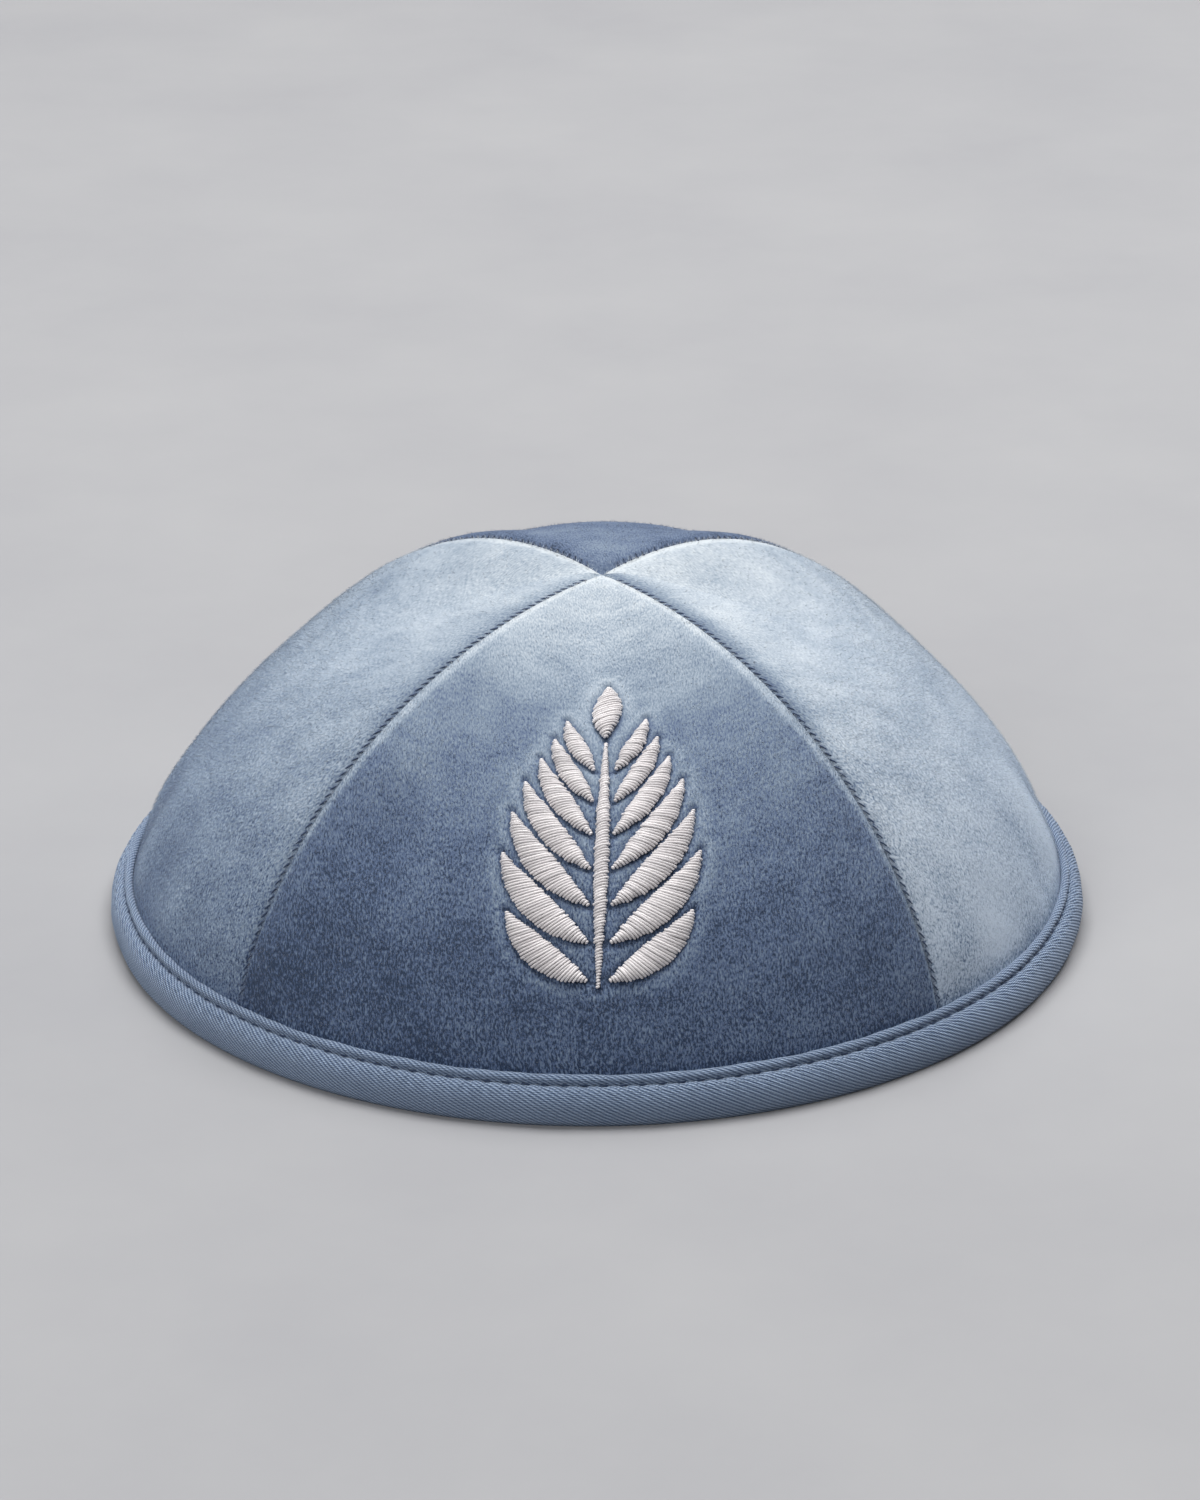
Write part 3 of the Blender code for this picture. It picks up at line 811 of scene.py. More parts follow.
def velvet_panel(panel, material):
    """One velvet gore, tucked in the tape and given its wall, and the open sheet for its nap."""
    rows = PANEL_ROWS + TUCK_ROWS
    row = np.arange(1, rows + 1)[:, None]
    tuck = TUCK_DEPTH * np.maximum(0, row - PANEL_ROWS) / TUCK_ROWS
    turn = turn_above_rim(SEAM_LENGTH * (1 - np.minimum(row / PANEL_ROWS, 1.0)))
    across = crowded(PANEL_COLUMNS)[None, :]
    radius = meridian(turn)[0]
    sideways = radius * across * half_angle(radius)
    up = (SEAM_LENGTH - length_at(turn)) - tuck + 0 * across
    edge = radius * half_angle(radius) * (1 - np.abs(across))
    way = np.where(across < 0, *PANELS[panel][1:])
    seed = list(PANELS).index(panel)
    inland = smooth(edge / RIPPLE_FROM_SEAM) * smooth(up / RIPPLE_FROM_RIM)
    lift = RIPPLE_RISE * ripple(sideways, up, RIPPLE_SIZE, seed) * inland
    tone = panel_tone(panel, across, turn, up, edge, way)
    nap = panel_nap(up, edge, way)
    if panel == "front":
        stroke = stroke_distance(sideways - SPRIG_SHIFT, up - SPRIG_FOOT)
        tip = tip_distance(sideways - SPRIG_SHIFT, up - SPRIG_FOOT)
        lift = lift - PRESS_DEPTH * (1 - smooth(stroke / PRESS_REACH))
        lift = lift - PIT_DEPTH * bump(tip, PIT_REACH) * (stroke > 0)
        # painted highlight round the hollow, and painted shade in it and in the pits
        tone = tone + HALO_HIGHLIGHT * bump(stroke - HALO_PLACE, HALO_WIDTH)
        tone = tone * (HOLLOW_SHADED_TONE + (1 - HOLLOW_SHADED_TONE) * smooth(stroke / HOLLOW_SHADE_REACH))
        tone = tone * (1 - PIT_SHADE * bump(tip, PIT_REACH))
        nap = nap * smooth(stroke / STITCH_BARE)
    points = panel_point(panel, across, turn, lift, tuck)
    heading = PILE[panel][0] + PILE_WANDER * ripple(sideways, up, PILE_WANDER_SIZE, seed + 50)
    lay = np.gradient(points, axis=0) * np.cos(heading)[..., None]
    lay = lay + np.gradient(points, axis=1) * np.sin(heading)[..., None]
    columns = PANEL_COLUMNS + 1
    apex = panel_point(panel, np.array([0.0]), np.array([SEAM_GAP / across_axis]))
    every = np.concatenate((apex, points.reshape(-1, 3)))
    uv = np.stack((sideways, up), axis=-1).reshape(-1, 2)
    uv = np.concatenate(([[0.0, SEAM_LENGTH]], uv))
    tones = np.concatenate(([tone[0, 0]], np.maximum(tone, 0.0).ravel()))
    naps = np.concatenate(([0.0], nap.ravel()))
    lays = np.concatenate((np.zeros((1, 3)), lay.reshape(-1, 3)))
    faces = [(0, 1 + c, 2 + c) for c in range(PANEL_COLUMNS)]
    for r in range(rows - 1):
        first = 1 + r * columns
        for c in range(first, first + PANEL_COLUMNS):
            faces.append((c, c + columns, c + columns + 1, c + 1))
    corner_uv = uv[[corner for face in faces for corner in face]]
    name = f"velvet_{panel}"
    piece = new_piece(name, every, faces, material, point_values={"tone": tones}, corner_uv=corner_uv)
    shown = faces[PANEL_COLUMNS : PANEL_COLUMNS * PANEL_ROWS]
    values = {"tone": tones, "nap": naps, "lay": lays}
    sheet = new_piece(f"velvet_nap_{panel}", every, shown, point_values=values)
    wall = piece.modifiers.new("wall", "SOLIDIFY")
    wall.thickness = WALL
    wall.offset = -1.0
    return finished(piece), sheet


def nap_tree():
    """Short fine hairs over a sheet, laid over along its nap, uneven in size and direction.

    Real pile is finer and far denser. These hairs stand for its tufts. The attribute "nap" thins
    them out towards the crown and thickens them along the folded edges.
    """
    tree, given, result = new_tree(
        "velvet_nap",
        {
            "Density": ("Float", NAP_DENSITY),
            "Hair length": ("Float", NAP_LENGTH),
            "Hair radius": ("Float", NAP_RADIUS),
            "Lean": ("Float", NAP_LEAN),
            "Seed": ("Int", 2),
            "Pile": ("Material", None),
        },
    )
    nap = add(tree, "GeometryNodeInputNamedAttribute", {"Name": "nap"}, data_type="FLOAT")
    density = add(tree, "ShaderNodeMath", {0: nap, 1: given["Density"]}, operation="MULTIPLY")
    sockets = {"Mesh": given["Geometry"], "Density": density, "Seed": given["Seed"]}
    roots = add(tree, "GeometryNodeDistributePointsOnFaces", sockets)
    lay = add(tree, "GeometryNodeInputNamedAttribute", {"Name": "lay"}, data_type="FLOAT_VECTOR")
    align = "FunctionNodeAlignRotationToVector"
    faced = add(tree, align, {"Vector": roots.outputs["Normal"]}, axis="Z")
    turned = add(tree, align, {"Rotation": faced, "Vector": lay}, axis="X", pivot_axis="Z")
    swings = ((7, (0, 0, 1), 0.0, NAP_TURN_SWING), (8, (0, 1, 0), given["Lean"], NAP_LEAN_SWING))
    for seed, axis, middle, swing in swings:
        sockets = {2: -swing, 3: swing, "Seed": seed}
        chance = add(tree, "FunctionNodeRandomValue", sockets, data_type="FLOAT").outputs[1]
        angle = add(tree, "ShaderNodeMath", {0: middle, 1: chance})
        bend = add(tree, "FunctionNodeAxisAngleToRotation", {"Axis": axis, "Angle": angle})
        sockets = {"Rotation": turned, "Rotate By": bend}
        turned = add(tree, "FunctionNodeRotateRotation", sockets, rotation_space="LOCAL")
    sockets = {"Vertices": 3, "Radius Top": 0.0}
    sockets.update({"Radius Bottom": given["Hair radius"], "Depth": given["Hair length"]})
    hair = add(tree, "GeometryNodeMeshCone", sockets, fill_type="NGON")
    sockets = {2: NAP_LEAST_SIZE, 3: NAP_MOST_SIZE, "Seed": 9}
    size = add(tree, "FunctionNodeRandomValue", sockets, data_type="FLOAT").outputs[1]
    sockets = {"Points": roots, "Instance": hair, "Rotation": turned, "Scale": size}
    row = add(tree, "GeometryNodeInstanceOnPoints", sockets)
    return end_tree(tree, result, row, given["Pile"])


# Rim binding

WALE_PITCH = 0.56 * MM  # across the wale
WALE_SLANT = math.radians(30)  # below the ring's direction
WALE_STEPS = 5
WALE_RISE = 0.045 * MM
TAPE_CLEARANCE = 0.05 * MM
RIM_STITCH_PITCH = 3.1 * MM
RIM_STITCH_LENGTH = 1.3 * MM
RIM_STITCH_SHARE = 0.35  # half of the dent's flat middle, as a share of the stitch
RIM_STITCH_FADE = 0.45 * MM
LIP_POINTS = 13
ROLL_POINTS = 19
LEG_POINTS = 6

# The stitches dent the groove, and the roll below it swells between them
STITCH_DENT = 0.22 * MM
STITCH_DENT_WIDTH = 0.42 * MM
PUCKER_RISE = 0.16 * MM
PUCKER_PLACE = 1.5 * MM
PUCKER_WIDTH = 0.95 * MM

# Slow unevenness of the roll and of the lip
ROLL_WAVES = (
    # waves round the ring, phase, share
    (13, 0.7, 1.0),
    (29, 2.1, 1.0),
    (61, 4.0, 0.6),
)
ROLL_WAVE_RISE = 0.05 * MM
ROLL_WAVE_START = 1.0 * MM
ROLL_WAVE_FADE = 1.5 * MM
ROLL_WAVE_END = 2.0 * MM
LIP_WAVES = ((17, 1.3, 1.0), (37, 0.4, 1.0), (83, 5.0, 1.0))
LIP_WAVE_RISE = 0.04 * MM
LIP_WAVE_FADE = 0.8 * MM

rim_out, rim_up = (float(share) for share in meridian(MERIDIAN_ARC)[2:])
TILT = math.atan2(rim_up, rim_out)


def arc_points(centre, half_width, half_height, first, last, count):
    angle = np.linspace(first, last, count)
    out = centre[0] + half_width * np.cos(angle)
    return np.stack((out, centre[1] + half_height * np.sin(angle)), axis=-1)


def at_rim(below, out):
    """A point of the radius-height plane, below the end of the panels' face and out from it."""
    radius = RIM_RADIUS + rim_up * below + rim_out * out
    return np.array((radius, RIM_LEVEL - rim_out * below + rim_up * out))


def tape_outline():
    """Closed outline of the folded tape, and the numbers where its groove and its inside start."""
    slot_end = (RIM_LEVEL - FILLING_BELOW - (WALL + SLOT_CLEARANCE) * rim_up) / rim_out
    lip_centre = at_rim(LIP_DROP, TAPE_CLEARANCE + LIP_RADIUS)
    lip_ends = (TILT + math.pi, TILT - math.pi / 4)
    lip = arc_points(lip_centre, LIP_RADIUS, LIP_RADIUS, *lip_ends, LIP_POINTS)
    groove = at_rim(GROOVE_DROP, SLOT_CLEARANCE + GROOVE_TAPE)
    outermost = RIM_RADIUS + ROLL_REACH
    half_width = (outermost - groove[0]) / (1 - math.cos(ROLL_START))
    half_height = groove[1] / (math.sin(ROLL_START) - math.sin(ROLL_END))
    roll_centre = (outermost - half_width, -half_height * math.sin(ROLL_END))
    roll = arc_points(roll_centre, half_width, half_height, ROLL_START, ROLL_END, ROLL_POINTS)
    inner_face = -(WALL + SLOT_CLEARANCE + INNER_LEG)
    leg_centre = at_rim(INNER_LEG_DROP, inner_face + INNER_LEG / 2)
    leg = arc_points(leg_centre, INNER_LEG / 2, INNER_LEG / 2, TILT + math.pi, TILT, LEG_POINTS)
    inside = [
        (RIM_RADIUS - FOOT_INSET, 0.0),
        at_rim(slot_end, inner_face),
        at_rim((slot_end + INNER_LEG_DROP) / 2, inner_face),
        *leg,
        at_rim(slot_end, -(WALL + TAPE_CLEARANCE)),
        at_rim(slot_end, TAPE_CLEARANCE),
    ]
    return np.array([*lip, *roll, *inside]), LIP_POINTS, LIP_POINTS + ROLL_POINTS


def stitch_share(along):
    """1 on a rim stitch and 0 between two, for a place along the ring in metres."""
    ring = FULL_TURN * RIM_RADIUS
    pitch = ring / round(ring / RIM_STITCH_PITCH)
    offset = np.abs((along / pitch + 0.5) % 1.0 - 0.5) * pitch
    return 1 - smooth((offset - RIM_STITCH_SHARE * RIM_STITCH_LENGTH) / RIM_STITCH_FADE)


def waves_at(turn, waves):
    return sum(share * np.cos(turn * count + phase) for count, phase, share in waves)


def twill_binding(material):
    """Twill tape round the rim. The mesh is skewed so that its lines run along the wales."""
    outline, groove_start, shown = tape_outline()
    count = len(outline)
    step = np.linalg.norm(np.roll(outline, -1, axis=0) - outline, axis=1)
    along = np.concatenate(([0.0], np.cumsum(step)))
    foot = along[shown - 1]
    skew = along[:count].copy()
    skew[shown:] = foot * (along[count] - along[shown:count]) / (along[count] - foot)
    skew = skew / math.tan(WALE_SLANT)
    tangent = np.roll(outline, -1, axis=0) - np.roll(outline, 1, axis=0)
    tangent /= np.linalg.norm(tangent, axis=1)[:, None]
    normal = np.stack((-tangent[:, 1], tangent[:, 0]), axis=-1)
    on_roll = (groove_start + shown) // 2
    if ((outline[on_roll] - outline.mean(axis=0)) * normal[on_roll]).sum() < 0:
        normal = -normal
    wales = round(FULL_TURN * RIM_RADIUS / (WALE_PITCH / math.sin(WALE_SLANT)))
    steps = wales * WALE_STEPS
    number = np.arange(steps)[:, None]
    turn = FULL_TURN * number / steps + skew[None, :] / RIM_RADIUS
    outside = np.zeros(count)
    outside[1:shown] = 1.0
    from_groove = along[:count] - along[groove_start]
    sewn = stitch_share((turn % FULL_TURN) * RIM_RADIUS)
    rise = WALE_RISE / 2 * np.cos(FULL_TURN * number / WALE_STEPS) * outside
    rise = rise - STITCH_DENT * bump(from_groove, STITCH_DENT_WIDTH) * outside * sewn
    pucker = bump(from_groove - PUCKER_PLACE, PUCKER_WIDTH) * outside
    rise = rise + PUCKER_RISE * pucker * (1 - 2 * sewn)
    belly = smooth((from_groove - ROLL_WAVE_START) / ROLL_WAVE_FADE)
    belly = belly * smooth((foot - along[:count]) / ROLL_WAVE_END) * outside
    rise = rise + ROLL_WAVE_RISE * waves_at(turn, ROLL_WAVES) * belly
    lip = outside * (from_groove < 0) * smooth(along[:count] / LIP_WAVE_FADE)
    rise = rise + LIP_WAVE_RISE * waves_at(turn, LIP_WAVES) * lip
    radius = outline[None, :, 0] + rise * normal[None, :, 0]
    height = np.maximum(outline[None, :, 1] + rise * normal[None, :, 1], 0.0)
    points = np.stack((radius * np.sin(turn), -radius * np.cos(turn), height), axis=-1)
    faces = []
    corner_uv = []
    slanted = along / math.sin(WALE_SLANT)
    for i in range(steps):
        here, there = i * count, (i + 1) % steps * count
        u0, u1 = i / WALE_STEPS, (i + 1) / WALE_STEPS
        for j in range(count):
            below = (j + 1) % count
            faces.append((here + j, here + below, there + below, there + j))
            v0, v1 = slanted[j], slanted[j + 1]
            corner_uv += [(u0, v0), (u0, v1), (u1, v1), (u1, v0)]
    turned = outward(points, faces)
    if turned is not faces:
        corner_uv = [pair for k in range(0, len(corner_uv), 4) for pair in corner_uv[k : k + 4][::-1]]
    return new_piece("twill_binding", points, turned, material, corner_uv=corner_uv)


# Satin stitch

THREAD_PITCH = 0.50 * MM
THREAD_RADIUS = 0.235 * MM
THREAD_POINTS = 9
THREAD_SLANT = 0.35  # how far a thread's end runs ahead, as a share of the half width
THREAD_LEAST = 0.16 * MM  # half of the shortest thread
THREAD_SHORTER = -0.20 * MM  # random change of a thread's half length
THREAD_LONGER = 0.14 * MM
THREAD_EVEN_BELOW = 0.5 * MM  # threads whose half is shorter keep their length
THREAD_WANDER = 0.06 * MM
THREAD_SINK = 0.18 * MM
THREAD_ROUNDNESS = 0.96
THREAD_LEAST_SHADE = 0.72
FULL_HALF_WIDTH = 1.1 * MM  # where a stroke is at least this broad, it has its whole rise
TIP_FALL = 0.6
PAD_INSET = 0.20 * MM
PAD_LEAST = 0.1 * MM
PAD_DROP = 0.22 * MM
PAD_SINK = 0.45 * MM
PAD_END_DEPTH = 0.3 * MM
PAD_RINGS = 30
PAD_SIDES = 12


def satin_tree():
    """Threads along guide lines, over the pad that comes with them.

    Points with the attribute "guide" are the lines, and the rest is the pad. The threads are
    round, uneven in thickness and shade, and closed at their ends.
    """
    tree, given, result = new_tree(
        "satin_threads",
        {
            "Thread radius": ("Float", THREAD_RADIUS),
            "Unevenness": ("Float", 0.16),
            "Sides": ("Int", 6),
            "Seed": ("Int", 3),
            "Thread": ("Material", None),
        },
    )
    guide = add(tree, "GeometryNodeInputNamedAttribute", {"Name": "guide"}, data_type="BOOLEAN")
    lines = add(tree, "GeometryNodeMeshToCurve", {"Mesh": given["Geometry"], "Selection": guide})
    sockets = {"Geometry": given["Geometry"], "Selection": guide}
    pad = add(tree, "GeometryNodeDeleteGeometry", sockets, domain="POINT")
    number = add(tree, "GeometryNodeInputNamedAttribute", {"Name": "thread"}, data_type="INT")
    thickness = uneven_size(tree, given, {"ID": number})
    shade_seed = add(tree, "ShaderNodeMath", {0: given["Seed"], 1: 100.0})
    sockets = {2: THREAD_LEAST_SHADE, 3: 1.0, "ID": number, "Seed": shade_seed}
    shade = add(tree, "FunctionNodeRandomValue", sockets, data_type="FLOAT").outputs[1]
    sockets = {"Geometry": lines, "Name": "shade", "Value": shade}
    shaded = add(tree, "GeometryNodeStoreNamedAttribute", sockets, data_type="FLOAT", domain="POINT")
    sized = add(tree, "GeometryNodeSetCurveRadius", {"Curve": shaded, "Radius": thickness})
    sockets = {"Resolution": given["Sides"], "Radius": given["Thread radius"]}
    ring = add(tree, "GeometryNodeCurvePrimitiveCircle", sockets, mode="RADIUS")
    sockets = {"Curve": sized, "Profile Curve": ring, "Fill Caps": True}
    tubes = add(tree, "GeometryNodeCurveToMesh", sockets)
    both = add(tree, "GeometryNodeJoinGeometry", {0: pad})
    plug(tree, both, {0: tubes})
    return end_tree(tree, result, both, given["Thread"])


def along_stroke(stroke, share):
    """Middle, sideways direction and half width at places along a stroke."""
    middle, sideways, half_width, _ = stroke
    where = np.linspace(0, 1, STROKE_SAMPLES)
    pick = [np.interp(share, where, column) for column in (*middle.T, *sideways.T, half_width)]
    return np.stack(pick[:2], axis=-1), np.stack(pick[2:4], axis=-1), pick[4]


def crown_at(half_width):
    """How high a stroke stands, as a share of its whole rise: its narrow tips lie lower."""
    return np.minimum(1.0, half_width / FULL_HALF_WIDTH)[:, None] ** TIP_FALL


def satin_guides(stroke, chance):
    """A guide line for each thread, laid across the stroke over its crown."""
    length = stroke[3]
    threads = round(length / THREAD_PITCH)
    share = (np.arange(threads)[:, None] + 0.5) / threads
    across = np.linspace(-1, 1, THREAD_POINTS)[None, :]
    half_width = np.maximum(along_stroke(stroke, share[:, 0])[2], THREAD_LEAST)
    reach = half_width[:, None]
    change = chance.uniform(THREAD_SHORTER, THREAD_LONGER, (threads, 1))
    ends = (reach + change * (reach > THREAD_EVEN_BELOW)) * across
    shift = chance.uniform(-THREAD_WANDER, THREAD_WANDER, (threads, 1))
    shares = np.clip(share + THREAD_SLANT * reach / length * across, 0.0, 1.0)
    middles, sideways, _ = along_stroke(stroke, shares.ravel())
    spots = middles + sideways * (ends + shift).ravel()[:, None]
    rise = STITCH_RISE * crown_at(half_width) * np.sqrt(1 - THREAD_ROUNDNESS * across**2)
    rise = rise + chance.uniform(-THREAD_WANDER, THREAD_WANDER, (threads, 1)) - THREAD_SINK
    points = sprig_point(spots[:, 0], spots[:, 1], rise.ravel())
    numbers = np.repeat(np.arange(threads), THREAD_POINTS)
    starts = [t * THREAD_POINTS + i for t in range(threads) for i in range(THREAD_POINTS - 1)]
    return points, [(start, start + 1) for start in starts], numbers


def satin_pad(stroke):
    """The filling under the threads, closed at both ends."""
    share = np.linspace(0, 1, PAD_RINGS + 2)[1:-1]
    middle, sideways, half_width = along_stroke(stroke, share)
    angle = FULL_TURN * np.arange(PAD_SIDES) / PAD_SIDES
    inner = np.maximum(half_width - PAD_INSET, PAD_LEAST)
    reach = inner[:, None, None] * np.cos(angle)[None, :, None]
    spots = middle[:, None, :] + sideways[:, None, :] * reach
    up = np.sin(angle)[None, :]
    rise = (STITCH_RISE - PAD_DROP) * crown_at(half_width) * np.maximum(up, 0.0)
    rise = rise - PAD_SINK * np.maximum(-up, 0.0) - THREAD_SINK
    body = sprig_point(spots[..., 0].ravel(), spots[..., 1].ravel(), rise.ravel())
    ends = sprig_point(*stroke[0][[0, -1]].T, -PAD_END_DEPTH)
    last = PAD_RINGS * PAD_SIDES
    faces = []
    for k in range(PAD_SIDES):
        after = (k + 1) % PAD_SIDES
        faces.append((last, after, k))
        faces.append((last + 1, last - PAD_SIDES + k, last - PAD_SIDES + after))
        for ring in range(0, last - PAD_SIDES, PAD_SIDES):
            beyond = ring + PAD_SIDES
            faces.append((ring + k, ring + after, beyond + after, beyond + k))
    points = np.concatenate((body, ends))
    return points, outward(points, faces)


def satin_piece(name, stroke, tree, material, seed):
    """A raised satin-stitched stroke: a pad with threads laid across it."""
    lines, edges, numbers = satin_guides(stroke, np.random.default_rng(seed))
    pad, faces = satin_pad(stroke)
    faces = [tuple(corner + len(lines) for corner in face) for face in faces]
    piece = new_piece(name, np.concatenate((lines, pad)), faces, edges=edges)
    marks = (
        ("guide", "BOOLEAN", [True] * len(lines) + [False] * len(pad)),
        ("thread", "INT", list(numbers) + [0] * len(pad)),
    )
    for label, kind, values in marks:
        piece.data.attributes.new(label, kind, "POINT").data.foreach_set("value", values)
    return grow(piece, tree, {"Seed": seed, "Thread": material})


# Sewing stitches

SEAM_STITCH_PITCH = 1.5 * MM
SEAM_STITCH_LENGTH = 1.85 * MM
SEAM_STITCH_RADIUS = 0.12 * MM
SEAM_STITCH_SLANT = math.radians(28)
SEAM_STITCH_PLACE = 0.75 * MM  # from the seam, on the panel with the ditch
SEAM_STITCH_LIFT = 0.02 * MM
SEAM_STITCH_START = 1.8 * MM  # above the rim
SEAM_STITCH_END = 3.0 * MM  # below the crown
BACK_STITCH_PLACE = 0.25 * MM  # on the back panel they lie over the neighbour's fold
BACK_STITCH_LIFT = 0.75 * MM
BACK_STITCH_TURN = 1.8  # times the slant of the others
STITCH_WOBBLE = 0.14
GUIDE_REACH = 0.02 * MM  # half of the short line that places a seam stitch
GROOVE_OFFSET = np.array((0.02, 0.10)) * MM  # out and up, to the middle of a rim stitch
GROOVE_FACING = (0.6, 0.8)  # how far out and up the groove faces


def stitch_tree():
    """Short arched stitches at an even pitch along guide lines, turned a little to the line."""
    tree, given, result = new_tree(
        "sewing_stitches",
        {
            "Pitch": ("Float", SEAM_STITCH_PITCH),
            "Stitch length": ("Float", SEAM_STITCH_LENGTH),
            "Thread radius": ("Float", SEAM_STITCH_RADIUS),
            "Arch": ("Float", 0.14 * MM),
            "Slant": ("Float", SEAM_STITCH_SLANT),
            "Unevenness": ("Float", 0.12),
            "Seed": ("Int", 5),
            "Thread": ("Material", None),
        },
    )
    lines = add(tree, "GeometryNodeMeshToCurve", {0: given["Geometry"]})
    sockets = {"Curve": lines, "Length": given["Pitch"]}
    places = add(tree, "GeometryNodeResampleCurve", sockets, mode="LENGTH")
    heading = add(tree, "GeometryNodeInputTangent")
    away = add(tree, "GeometryNodeInputNamedAttribute", {"Name": "away"}, data_type="FLOAT_VECTOR")
    sense = add(tree, "GeometryNodeInputNamedAttribute", {"Name": "sense"}, data_type="FLOAT")
    align = "FunctionNodeAlignRotationToVector"
    faced = add(tree, align, {"Vector": away}, axis="Z")
    laid = add(tree, align, {"Rotation": faced, "Vector": heading}, axis="X", pivot_axis="Z")
    sockets = {2: -STITCH_WOBBLE, 3: STITCH_WOBBLE, "Seed": given["Seed"]}
    wobble = add(tree, "FunctionNodeRandomValue", sockets, data_type="FLOAT").outputs[1]
    sockets = {0: given["Slant"], 1: sense, 2: wobble}
    slant = add(tree, "ShaderNodeMath", sockets, operation="MULTIPLY_ADD")
    twist = add(tree, "FunctionNodeAxisAngleToRotation", {"Axis": (0, 0, 1), "Angle": slant})
    sockets = {"Rotation": laid, "Rotate By": twist}
    turned = add(tree, "FunctionNodeRotateRotation", sockets, rotation_space="LOCAL")
    half = add(tree, "ShaderNodeMath", {0: given["Stitch length"], 1: 0.5}, operation="MULTIPLY")
    back = add(tree, "ShaderNodeMath", {0: half, 1: -1.0}, operation="MULTIPLY")
    sink = add(tree, "ShaderNodeMath", {0: given["Arch"], 1: -1.0}, operation="MULTIPLY")
    start = add(tree, "ShaderNodeCombineXYZ", {0: back, 2: sink})
    top = add(tree, "ShaderNodeCombineXYZ", {2: given["Arch"]})
    end = add(tree, "ShaderNodeCombineXYZ", {0: half, 2: sink})
    sockets = {"Resolution": 6, "Start": start, "Middle": top, "End": end}
    shape = add(tree, "GeometryNodeCurveQuadraticBezier", sockets)
    sockets = {"Resolution": 6, "Radius": given["Thread radius"]}
    ring = add(tree, "GeometryNodeCurvePrimitiveCircle", sockets, mode="RADIUS")
    sockets = {"Curve": shape, "Profile Curve": ring, "Fill Caps": True}
    stitch = add(tree, "GeometryNodeCurveToMesh", sockets)
    size = uneven_size(tree, given, {})
    sockets = {"Points": places, "Instance": stitch, "Rotation": turned, "Scale": size}
    row = add(tree, "GeometryNodeInstanceOnPoints", sockets)
    return end_tree(tree, result, row, given["Thread"])


def guide_lines(name, lines):
    """Guide lines as edges, each a list of points with their outward directions and a sense."""
    points, aways, senses, edges = [], [], [], []
    for line, away, sense in lines:
        first = len(points)
        points += list(line)
        aways += list(away)
        senses += [sense] * len(line)
        edges += [(first + i, first + i + 1) for i in range(len(line) - 1)]
    values = {"away": np.array(aways), "sense": np.array(senses)}
    return new_piece(name, points, [], edges=edges, point_values=values)


def seam_stitches(tree, material):
    """Slanted stitches that hold each folded edge to its neighbour, in the ditch beside it."""
    lines = []
    for panel, (_, *ways) in PANELS.items():
        place, lift, sense = SEAM_STITCH_PLACE, SEAM_STITCH_LIFT, 1.0
        if panel == "back":
            place, lift, sense = BACK_STITCH_PLACE, BACK_STITCH_LIFT, BACK_STITCH_TURN
        for side, way in zip((-1, 1), ways):
            if way > 0:
                continue
            for up in np.arange(SEAM_STITCH_START, SEAM_LENGTH - SEAM_STITCH_END, SEAM_STITCH_PITCH):
                turn = turn_above_rim(up + np.array((-GUIDE_REACH, GUIDE_REACH)))
                radius = meridian(turn)[0]
                across = side * (1 - place / (radius * half_angle(radius)))
                low = panel_point(panel, across, turn, lift=lift)
                high = panel_point(panel, across, turn, lift=lift + MM)
                lines.append((low, (high - low) / MM, -side * sense))
    return grow(guide_lines("seam_stitches", lines), tree, {"Thread": material, "Pitch": 1.0})


def rim_stitches(tree, material):
    """Lengthwise stitches that lie in the dents of the tape's groove."""
    count = round(FULL_TURN * RIM_RADIUS / RIM_STITCH_PITCH)
    radius, height = at_rim(GROOVE_DROP, SLOT_CLEARANCE + GROOVE_TAPE) + GROOVE_OFFSET
    out_share, up_share = GROOVE_FACING
    lines = []
    for k in range(count):
        turn = FULL_TURN * k / count + np.array((-0.5, 0.5)) * RIM_STITCH_LENGTH / RIM_RADIUS
        out = np.stack((np.sin(turn), -np.cos(turn)), axis=-1)
        line = np.column_stack((radius * out, (height, height)))
        away = np.array((*out_share * out.mean(axis=0), up_share))
        middle = line.mean(axis=0)
        step = (line[1] - line[0]) / 100
        lines.append(([middle - step, middle + step], [away, away], 0.0))
    values = {
        "Thread": material,
        "Pitch": 1.0,
        "Stitch length": RIM_STITCH_LENGTH,
        "Thread radius": 0.15 * MM,
        "Arch": 0.16 * MM,
        "Unevenness": 0.08,
        "Seed": 11,
    }
    return grow(guide_lines("rim_stitches", lines), tree, values)


# The pieces

pile = pile_material()
twill = twill_material()
# the deep colour is painted shade, shown on the pad in the gaps between the threads
silver = thread_material("silver_embroidery_thread", "#5a5560", "#fffafa", roughness=0.42, sheen=0.3)
sewing = thread_material("blue_sewing_thread", "#3a4b69", "#4b6080", roughness=0.7, sheen=0.1)

naps = nap_tree()
for seed, panel in enumerate(PANELS, start=60):
    gore, sheet = velvet_panel(panel, velvet_material(f"blue_velvet_{panel}", *PILE[panel]))
    nap = grow(sheet, naps, {"Seed": seed, "Pile": pile})
    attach(nap, "root")
    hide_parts(f"panel_{panel}")
    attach(gore, "root")

binding = twill_binding(twill)
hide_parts("rim_binding")
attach(binding, "root")

threads = satin_tree()
for seed, (name, stroke) in enumerate(strokes.items(), start=20):
    satin = satin_piece(f"satin_{name}", stroke, threads, silver, seed)
    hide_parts(f"embroidered_{name}")
    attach(satin, "root")

stitches = stitch_tree()
for piece in (seam_stitches(stitches, sewing), rim_stitches(stitches, sewing)):
    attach(piece, "root")

# Floor, light and camera

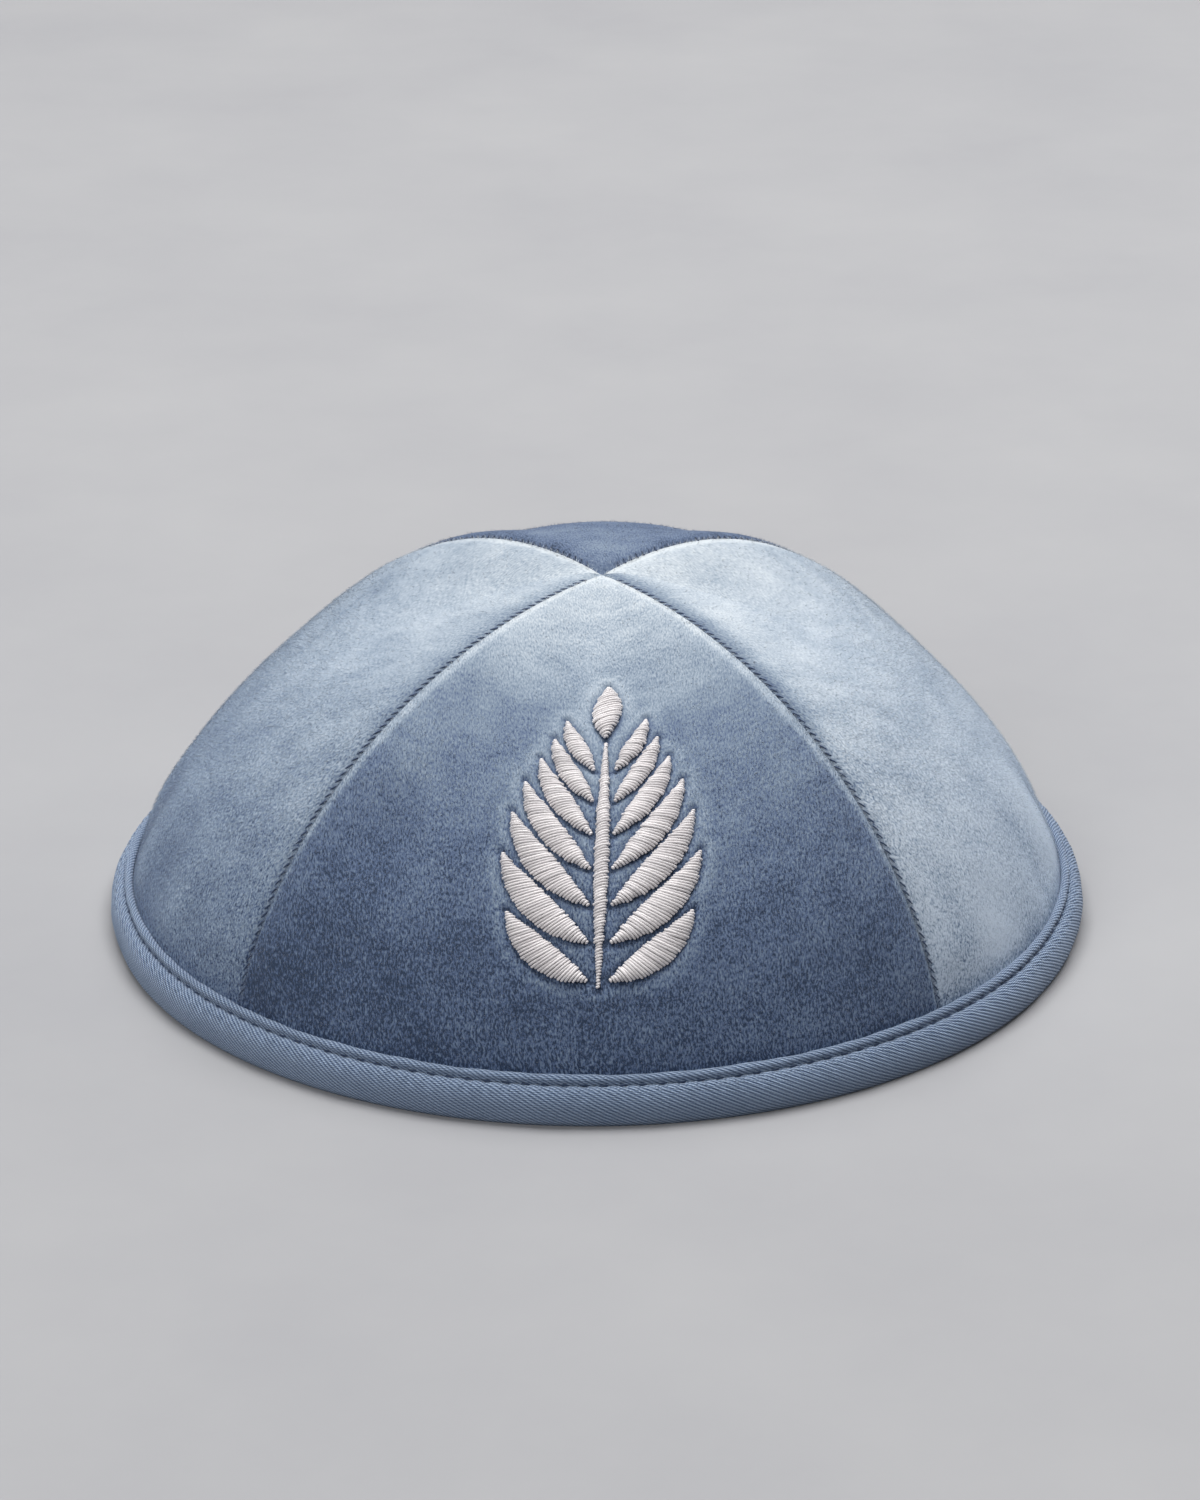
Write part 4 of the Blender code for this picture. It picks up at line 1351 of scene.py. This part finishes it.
FLOOR_HALF = 6.0
corners = [(x * FLOOR_HALF, y * FLOOR_HALF, 0.0) for x, y in ((-1, -1), (1, -1), (1, 1), (-1, 1))]
floor = new_piece("floor", corners, [(0, 1, 2, 3)], floor_material())

scene = bpy.context.scene
scene.view_settings.view_transform = "Standard"
world = bpy.data.worlds.new("studio")
world.use_nodes = True
scene.world = world
background = world.node_tree.nodes["Background"]
background.inputs["Color"].default_value = linear("#f2f3f6")
background.inputs["Strength"].default_value = 0.04


def area_light(name, place, width, height, energy, colour):
    """A soft rectangular light that faces the cap."""
    lamp = bpy.data.lights.new(name, "AREA")
    lamp.shape = "RECTANGLE"
    lamp.size, lamp.size_y = width, height
    lamp.energy = energy
    lamp.color = linear(colour)[:3]
    light = bpy.data.objects.new(name, lamp)
    facing = (-Vector(place)).to_track_quat("-Z", "Y").to_matrix().to_4x4()
    light.matrix_world = Matrix.Translation(place) @ facing
    bpy.context.collection.objects.link(light)


for softbox in (
    # name, place, width, height, energy, colour
    ("top_softbox", (0.1, 0.5, 1.7), 1.8, 1.3, 45.0, "#ffffff"),
    ("back_softbox", (0.15, 1.7, 1.1), 2.8, 1.0, 4.0, "#ffffff"),
    ("right_softbox", (1.5, 0.5, 0.8), 1.2, 1.0, 3.5, "#ffffff"),
    ("front_softbox", (-1.0, -1.3, 1.4), 1.2, 0.9, 17.0, "#ffffff"),
):
    area_light(*softbox)

CAMERA_DISTANCE = 730.41 * MM
CAMERA_AZIMUTH = math.radians(1.58)
CAMERA_HEIGHT = 353.1 * MM
CAMERA_PITCH = 0.4182
CAMERA_YAW = -0.001
CAMERA_ROLL = 0.0072
CAMERA_LENS = 109.2
SENSOR_WIDTH = 36.0
camera_data = bpy.data.cameras.new("camera")
camera_data.lens = CAMERA_LENS
camera_data.sensor_width = SENSOR_WIDTH
camera = bpy.data.objects.new("camera", camera_data)
camera_x = CAMERA_DISTANCE * math.sin(CAMERA_AZIMUTH)
camera_y = -CAMERA_DISTANCE * math.cos(CAMERA_AZIMUTH)
camera.matrix_world = (
    Matrix.Translation((camera_x, camera_y, CAMERA_HEIGHT))
    @ Matrix.Rotation(CAMERA_AZIMUTH + CAMERA_YAW, 4, "Z")
    @ Matrix.Rotation(QUARTER - CAMERA_PITCH, 4, "X")
    @ Matrix.Rotation(-CAMERA_ROLL, 4, "Z")
)
bpy.context.collection.objects.link(camera)
scene.camera = camera
